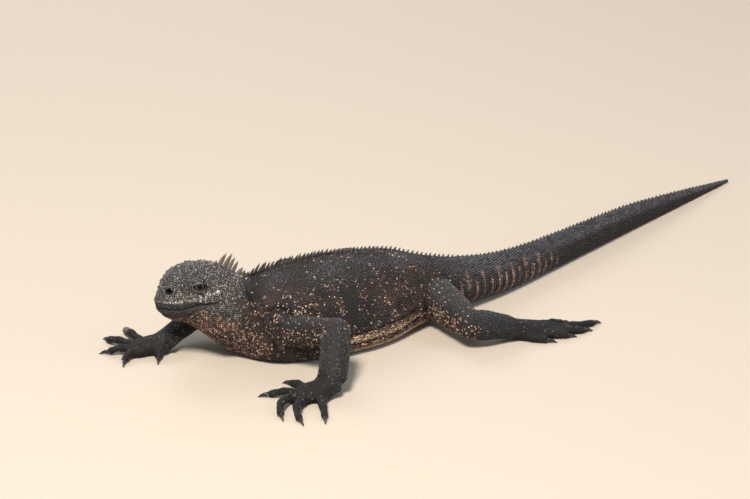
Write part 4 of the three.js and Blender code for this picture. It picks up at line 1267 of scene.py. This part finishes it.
class IGUANA_OT_eyes(bpy.types.Operator):
    """Eyeballs with iris and pupil."""

    bl_idname = "iguana.eyes"
    bl_label = "Eyes"

    def execute(self, context):
        iris = np.array(context.scene.iguana_colours.iris)
        finish = wet_eye()
        # close rings over the cornea, which bulges
        tilt = np.concatenate([np.linspace(0.01, 0.5, 16), np.linspace(0.55, math.pi - 0.01, 18)])
        bulge = EYE["radius"] + 0.35 * bell(tilt, 0, 0.45)
        for name, sign in SIDES:
            *axes, centre = eye_frame(sign)
            rings = ball_rings(centre, axes, tilt, bulge, bulge, 40)
            eye = new_object(f"eyeball_{name}", *loft(rings), finish)
            outwards(eye)
            away = read_points(eye.data) - centre
            # degrees from the pupil's middle: pupil, pale ring and dark rim of the iris
            off = np.degrees(np.arccos(np.clip(away @ axes[2] / np.linalg.norm(away, axis=1), -1, 1)))
            tints = blend(np.tile(iris, (len(off), 1)), TINTS["ash"], 0.55 * bell(off, 28, 2))
            tints = blend(tints, TINTS["black"] * 0.12, 1 - ramp(off, 20, 24))
            store_tint(eye.data, blend(tints, TINTS["black"] * 0.5, ramp(off, 32, 38)))
            finish_piece(eye, "eye", f"eye_{name}")
        return {"FINISHED"}


class IGUANA_OT_lids(bpy.types.Operator):
    """Eyelids: thick rims round an almond opening, with rows of granules."""

    bl_idname = "iguana.lids"
    bl_label = "Eyelids"

    # Share of the way from the opening to the outer edge, and how far the lid stands over the eyeball there
    rows = [(-0.12, -0.35), (-0.04, 0.2), (0.0, 0.6), (0.12, 0.9), (0.24, 0.8), (0.34, 0.45), (0.46, 0.75),
            (0.60, 0.9), (0.72, 0.7), (0.82, 0.4), (0.92, 0.65), (1.0, 0.1)]
    thick = 1.1

    def execute(self, context):
        finish = scale_horn("eyelid_skin_satin", 0.5)
        for name, sign in SIDES:
            back, up, out, centre = eye_frame(sign)
            around = np.linspace(0, 2 * math.pi, 64, endpoint=False)
            cos, sin = np.cos(around), np.sin(around)
            almond = np.abs(sin) ** 1.25 * np.sign(sin)
            opening = np.stack([5.6 * cos, np.where(sin > 0, 3.0, 3.3) * almond], 1)
            outer = np.stack([7.0 * cos, 5.9 * sin], 1)
            rings = []
            for share, proud in self.rows:
                flat = opening + (outer - opening) * share
                radius = EYE["radius"] + proud
                height = np.sqrt(np.maximum(radius**2 - (flat**2).sum(1), 1.0))
                rings.append(centre + flat[:, :1] * back + flat[:, 1:] * up + height[:, None] * out)
            rings = np.array(rings)
            # closed round its own thickness, like a ring
            closed = np.concatenate([rings, rings[::-1] - out * self.thick])
            count, sides = closed.shape[:2]
            faces = []
            for i, k in itertools.product(range(count), range(sides)):
                row, next_row, n = i * sides, (i + 1) % count * sides, (k + 1) % sides
                faces.append((row + k, row + n, next_row + n, next_row + k))
            lid = new_object(f"eyelids_{name}", closed.reshape(-1, 3), faces, finish)
            outwards(lid)
            points = read_points(lid.data)
            tints = markings(points)
            edge = to_line(points, np.concatenate([rings[2], rings[2][:1]]))[0]
            tints = blend(tints, TINTS["black"], 0.85 * (1 - ramp(edge, 0.3, 0.8)))
            # painted shade: the lids darker where they stand less proud of the eyeball, in the hollows between
            # their rows and on their inner side
            proud = np.linalg.norm(points - centre, axis=1) - EYE["radius"]
            store_tint(lid.data, tints * (0.45 + 0.75 * ramp(proud, 0.4, 0.9))[:, None])
            finish_piece(lid, "body_skin")
            self.temple(name, sign, finish)
        return {"FINISHED"}

    @staticmethod
    def temple(name, sign, finish):
        """The round pale scale behind the eye."""
        place = (53.5, sign * 57)
        normal = body_normal(*place)
        along_head = np.cross([0, 0, 1.0], normal)
        axes = (along_head, np.cross(normal, along_head), normal)
        rings = ball_rings(body_point(*place), axes, np.linspace(0.05, math.pi - 0.05, 12), 2.1, 1.3, 20)
        scale = new_object(f"temple_scale_{name}", *loft(rings), finish)
        outwards(scale)
        pale = blend(TINTS["stone"], TINTS["chalk"], 0.3)
        store_tint(scale.data, np.tile(pale, (len(scale.data.vertices), 1)))
        finish_piece(scale, "body_skin")


class IGUANA_OT_claws(bpy.types.Operator):
    """Hooked claws at the digits' ends."""

    bl_idname = "iguana.claws"
    bl_label = "Claws"

    def execute(self, context):
        finish = claw_horn()
        for foot in FEET:
            for number, (path, heading) in enumerate(digit_paths(foot), 1):
                forwards = level(heading)
                at = path[-1] + forwards * CLAW["gap"]
                at[2] = max(at[2], CLAW["root"])
                centres, wides, talls = [], [], []
                for share in np.linspace(0, 1, CLAW["steps"] + 1):
                    radius = CLAW["root"] + (CLAW["tip"] - CLAW["root"]) * share ** CLAW["taper"]
                    centres.append(at.copy())
                    wides.append(radius * CLAW["narrow"])
                    talls.append(radius)
                    pitch = math.radians(CLAW["lift"] - CLAW["fall"] * share)
                    step = CLAW["length"] / CLAW["steps"]
                    at = at + forwards * step * math.cos(pitch)
                    at[2] = max(at[2] + step * math.sin(pitch), CLAW["tip"])
                rings = tube_rings(centres, wides, talls, CLAW["steps"], 14)
                claw = new_object(f"claw_{foot}_{number}_horn", *loft(rings), finish)
                outwards(claw)
                finish_piece(claw, "claw_horn", f"claw_{foot}_{number}")
        return {"FINISHED"}


# The crest along the back: height, pitch and lean from upright, as in the solids
CREST_HEIGHT = along([
    (51, 4), (54, 7), (57, 16), (62, 16), (66, 14.5), (71, 12), (75, 8), (79, 5), (84, 4.5), (88, 9),
    (91, 10.5), (95, 8), (104, 7), (150, 5), (200, 3.4), (280, 2.6), (430, 2.8), (560, 2.4), (670, 1.4)])
CREST_PITCH = along([(51, 2.8), (56, 4.2), (70, 4.3), (82, 3.5), (96, 3.7), (180, 4.2), (300, 5), (TIP, 6)])
CREST_LEAN = along([(51, 20), (70, 24), (82, 26), (110, 24), (TIP, 38)])
CREST_START, CREST_END, CREST_SUNK = 50.5, 668, 1.6


class IGUANA_OT_crest(bpy.types.Operator):
    """The row of flattened spines from nape to tail."""

    bl_idname = "iguana.crest"
    bl_label = "Crest"

    def execute(self, context):
        rng = np.random.default_rng(7)
        tall = np.array(context.scene.iguana_colours.crest)
        stops = [CREST_START]
        while stops[-1] < CREST_END:
            stops.append(stops[-1] + float(CREST_PITCH(stops[-1])) * rng.uniform(0.88, 1.12))
        s = np.array(stops)
        count = len(s)
        height = CREST_HEIGHT(s) * rng.uniform(0.84, 1.04, count)
        lean = np.radians(CREST_LEAN(s) + rng.uniform(-3, 8, count))
        back = tailwards(s)
        side, sway = np.cross(back, [0, 0, 1.0]), rng.uniform(-0.12, 0.12, count)
        out = np.array([0, 0, 1.0]) + back * np.tan(lean)[:, None] + side * sway[:, None]
        out /= np.linalg.norm(out, axis=1, keepdims=True)
        nape = 1 - ramp(s, 76, 86)
        height = height * (1.02 + 0.16 * (1 - nape) + 0.25 * bell(s, 112, 26))
        base = (1.5 + 0.75 * nape) * rng.uniform(0.9, 1.1, count)
        sizes = np.stack([base, np.maximum(0.5 * base, 0.75), height + CREST_SUNK], 1) * MM
        spine = template("spine_shape", [(0, 0.9, 1, 0), (0.25, 0.95, 0.95, 0.02), (0.5, 0.85, 0.8, 0.08),
                                         (0.78, 0.55, 0.5, 0.2), (1.0, 0, 0, 0.42)])
        guides = dict(out=out, lie=back, size=sizes)
        crest = on_points("crest_spines", body_point(s, 0.0) - out * CREST_SUNK, guides, spine, crest_horn())
        each = len(spine.data.vertices)
        roots = read_points(crest.data).reshape(count, each, 3)[:, :CORNERS].mean(1)
        # the hide's own colour at the foot, horn above it, paler at the nape's tips
        rise = np.tile(read_points(spine.data)[:, 2] * MM, count)
        horn = blend(np.tile(TINTS["charcoal"], (count, 1)), tall, 0.25 + 0.75 * nape)
        ground, horn, nape = (np.repeat(v, each, 0) for v in (markings(roots) * 1.2, horn, nape))
        tints = blend(ground, horn, ramp(rise, 0.1, 0.5))
        tints = blend(tints, TINTS["stone"], 0.35 * ramp(rise, 0.7, 1.0) * nape)
        shade = np.repeat(np.exp(0.15 * rng.normal(0, 1, count)), each)
        dress(crest.data, spine, roots, tints * shade[:, None])
        finish_piece(crest, "body_skin")
        return {"FINISHED"}


class IGUANA_OT_scales(bpy.types.Operator):
    """Granules and cones over head, trunk and limbs."""

    bl_idname = "iguana.scales"
    bl_label = "Scales"

    def execute(self, context):
        sizes = context.scene.iguana_sizes
        skin = bpy.data.objects["skin"]
        tree, known = scales_over_skin()
        satin = scale_horn("scale_keratin_satin", 0.5)
        dry = scale_horn("scale_keratin_dry", 0.62)
        granule = [(-0.25, 1.0, 0.95, 0), (0.28, 0.86, 0.8, 0.05), (0.62, 0.4, 0.36, 0.14), (0.72, 0, 0, 0.2)]
        cone = [(-0.3, 1.05, 1.0, 0), (0.3, 0.85, 0.8, 0.03), (0.85, 0.42, 0.4, 0.08), (1.05, 0, 0, 0.1)]
        plate = [(-0.2, 1.0, 1.0, 0), (0.16, 0.9, 0.9, 0.02), (0.3, 0.5, 0.5, 0.1), (0.34, 0, 0, 0.15)]
        # region, shape, spacing, size as a share of the spacing, variation, finish, slot, seed
        plan = [
            ("crown", cone, sizes.crown, 0.46, 0.25, dry, "body_skin", 31),
            ("face", granule, sizes.face, 0.58, 0.25, dry, "body_skin", 32),
            ("lip", plate, sizes.face * 1.5, 0.6, 0.15, satin, "body_skin", 37),
            ("chest", granule, sizes.trunk, 0.58, 0.22, satin, "body_skin", 33),
            ("loin", granule, sizes.trunk, 0.58, 0.22, satin, "body_skin", 38),
            ("belly", plate, sizes.trunk * 1.6, 0.6, 0.1, dry, "body_skin", 34),
            ("arm", granule, sizes.limb, 0.58, 0.15, satin, "limb_skin", 35),
            ("leg", granule, sizes.limb, 0.58, 0.15, satin, "limb_skin", 39),
            ("hand", granule, sizes.foot, 0.58, 0.15, satin, "limb_skin", 36),
            ("foot", granule, sizes.foot, 0.58, 0.15, satin, "limb_skin", 40),
        ]
        for region, rings, spacing, share, variation, finish, slot, seed in plan:
            shape = template("scale_shape", rings)
            coat = run_tree(f"scales_{region}", skin.data.copy(), tree, known, {
                "Shape": shape, "Region": region, "Spacing": spacing, "Size": spacing * share,
                "Variation": variation, "Seed": seed, "Finish": finish})
            shared = TINTS["slate"] if region == "crown" else None
            dress_scales(coat.data, shape, np.random.default_rng(seed), shared)
            finish_piece(coat, slot)
        return {"FINISHED"}


class IGUANA_OT_tail_scales(bpy.types.Operator):
    """Whorls of keeled scales round the tail."""

    bl_idname = "iguana.tail_scales"
    bl_label = "Tail scales"

    def execute(self, context):
        rng = np.random.default_rng(41)
        turns = np.linspace(0, 360, 721)

        def whorl(s):
            """A whorl's length, which shrinks by a quarter towards the tip."""
            return context.scene.iguana_sizes.whorl / MM * (1 - 0.25 * (s - TAIL_START) / (TIP - TAIL_START))

        rows = []
        s = float(TAIL_START)
        while s < TIP - 3:
            _, above, below, wide, _, _ = section(s)
            girth = math.pi * math.sqrt(2 * (wide**2 + ((above + below) / 2) ** 2))
            count = max(6, int(girth / (whorl(TAIL_START) * 0.72)))
            steps = np.linalg.norm(np.diff(body_point(s, turns), axis=0), axis=1)
            lengths = np.concatenate([[0], np.cumsum(steps)])
            # every other whorl is turned by half a scale
            stops = (np.arange(count) + 0.5 * (len(rows) % 2)) / count * lengths[-1]
            apart = np.full(count, lengths[-1] / count)
            rows.append((np.full(count, s), np.interp(stops, lengths, turns), apart))
            s += whorl(s)
        s, angle, wide = (np.concatenate(values) for values in zip(*rows))
        s = s + rng.normal(0, 0.12, len(s))
        roots = body_point(s, angle, -context.scene.iguana_sizes.coat / MM)
        out = body_normal(s, angle)
        keep = (roots[:, 2] > 0.4) & (out[:, 2] > -0.9)
        s, wide, roots, out = s[keep], wide[keep], roots[keep], out[keep]
        back = tailwards(s)
        long = whorl(s) * 0.6
        high = np.minimum(wide, long * 2) * rng.uniform(0.4, 0.55, len(s))
        guides = dict(out=out + 0.16 * back, lie=back, size=np.stack([long, wide * 0.52, high], 1) * MM)
        keeled = template("tail_scale_shape", [(-0.3, 1.0, 1.0, 0), (0.55, 0.92, 0.86, 0.05),
                                               (0.95, 0.55, 0.3, 0.25), (1.05, 0, 0, 0.55)])
        coat = on_points("scales_tail", roots, guides, keeled, scale_horn("tail_scale_keratin", 0.55))
        dress_scales(coat.data, keeled, rng)
        finish_piece(coat, "body_skin")
        return {"FINISHED"}


class IGUANA_OT_stage(bpy.types.Operator):
    """Floor, studio lights and the camera."""

    bl_idname = "iguana.stage"
    bl_label = "Stage"

    def execute(self, context):
        scene = context.scene
        half = 6000
        corners = [(-half, -half, 0), (half, -half, 0), (half, half, 0), (-half, half, 0)]
        floor = new_object("floor", corners, [(0, 1, 2, 3)], studio_floor())
        floor.location.z = -0.0001
        world = bpy.data.worlds.new("studio")
        scene.world = world
        world.use_nodes = True
        sky = world.node_tree.nodes["Background"].inputs
        sky["Color"].default_value = (*colour("#eef0f2"), 1)
        sky["Strength"].default_value = 0.52
        aim = Vector((0.05, 0, 0.03))
        for name, place, size, watts, tint in (
            ("key", (-1.1, -0.9, 2.3), 0.6, 118, "#fff4e8"),
            ("fill", (1.6, -1.6, 1.3), 1.6, 16, "#eef2ff"),
            ("rim", (0.4, 1.9, 1.6), 1.2, 24, "#ffffff"),
        ):
            data = bpy.data.lights.new(name, "AREA")
            data.size = size
            data.energy = watts
            data.color = colour(tint)
            lamp = bpy.data.objects.new(name, data)
            lamp.location = place
            lamp.rotation_euler = (aim - Vector(place)).to_track_quat("-Z", "Y").to_euler()
            scene.collection.objects.link(lamp)
        data = bpy.data.cameras.new("camera")
        data.lens = 200
        data.sensor_width = 36
        data.clip_end = 50
        camera = bpy.data.objects.new("camera", data)
        # where the photograph was taken from, level, and the way back from what it looks at
        place, azimuth = (-1.838657, -2.889181, 1.606610), math.radians(-33)
        back = Vector((-0.49755252, -0.76616369, 0.40673664))
        right = Vector((math.cos(azimuth), math.sin(azimuth), 0))
        facing = Matrix((right, back.cross(right), back)).transposed().to_4x4()
        camera.matrix_world = Matrix.Translation(place) @ facing
        scene.collection.objects.link(camera)
        scene.camera = camera
        scene.view_settings.view_transform = "Standard"
        return {"FINISHED"}


class IGUANA_PT_parts(bpy.types.Panel):
    """Lists the iguana's pieces in the order in which they are made."""

    bl_label = "Marine iguana"
    bl_idname = "IGUANA_PT_parts"
    bl_space_type = "VIEW_3D"
    bl_region_type = "UI"
    bl_category = "Iguana"

    def draw(self, context):
        for group in (context.scene.iguana_sizes, context.scene.iguana_colours):
            for key in type(group).__annotations__:
                self.layout.prop(group, key)
        for operator in OPERATORS:
            self.layout.operator(operator.bl_idname)


OPERATORS = (
    IGUANA_OT_stage, IGUANA_OT_skin, IGUANA_OT_eyes, IGUANA_OT_lids, IGUANA_OT_claws, IGUANA_OT_crest,
    IGUANA_OT_scales, IGUANA_OT_tail_scales)
CLASSES = (IguanaSizes, IguanaColours, *OPERATORS, IGUANA_PT_parts)


def register():
    for cls in CLASSES:
        bpy.utils.register_class(cls)
    bpy.types.Scene.iguana_sizes = bpy.props.PointerProperty(type=IguanaSizes)
    bpy.types.Scene.iguana_colours = bpy.props.PointerProperty(type=IguanaColours)


def unregister():
    del bpy.types.Scene.iguana_colours
    del bpy.types.Scene.iguana_sizes
    for cls in reversed(CLASSES):
        bpy.utils.unregister_class(cls)


def main():
    register()
    for operator in OPERATORS:
        group, name = operator.bl_idname.split(".")
        getattr(getattr(bpy.ops, group), name)()


if __name__ == "__main__":
    main()
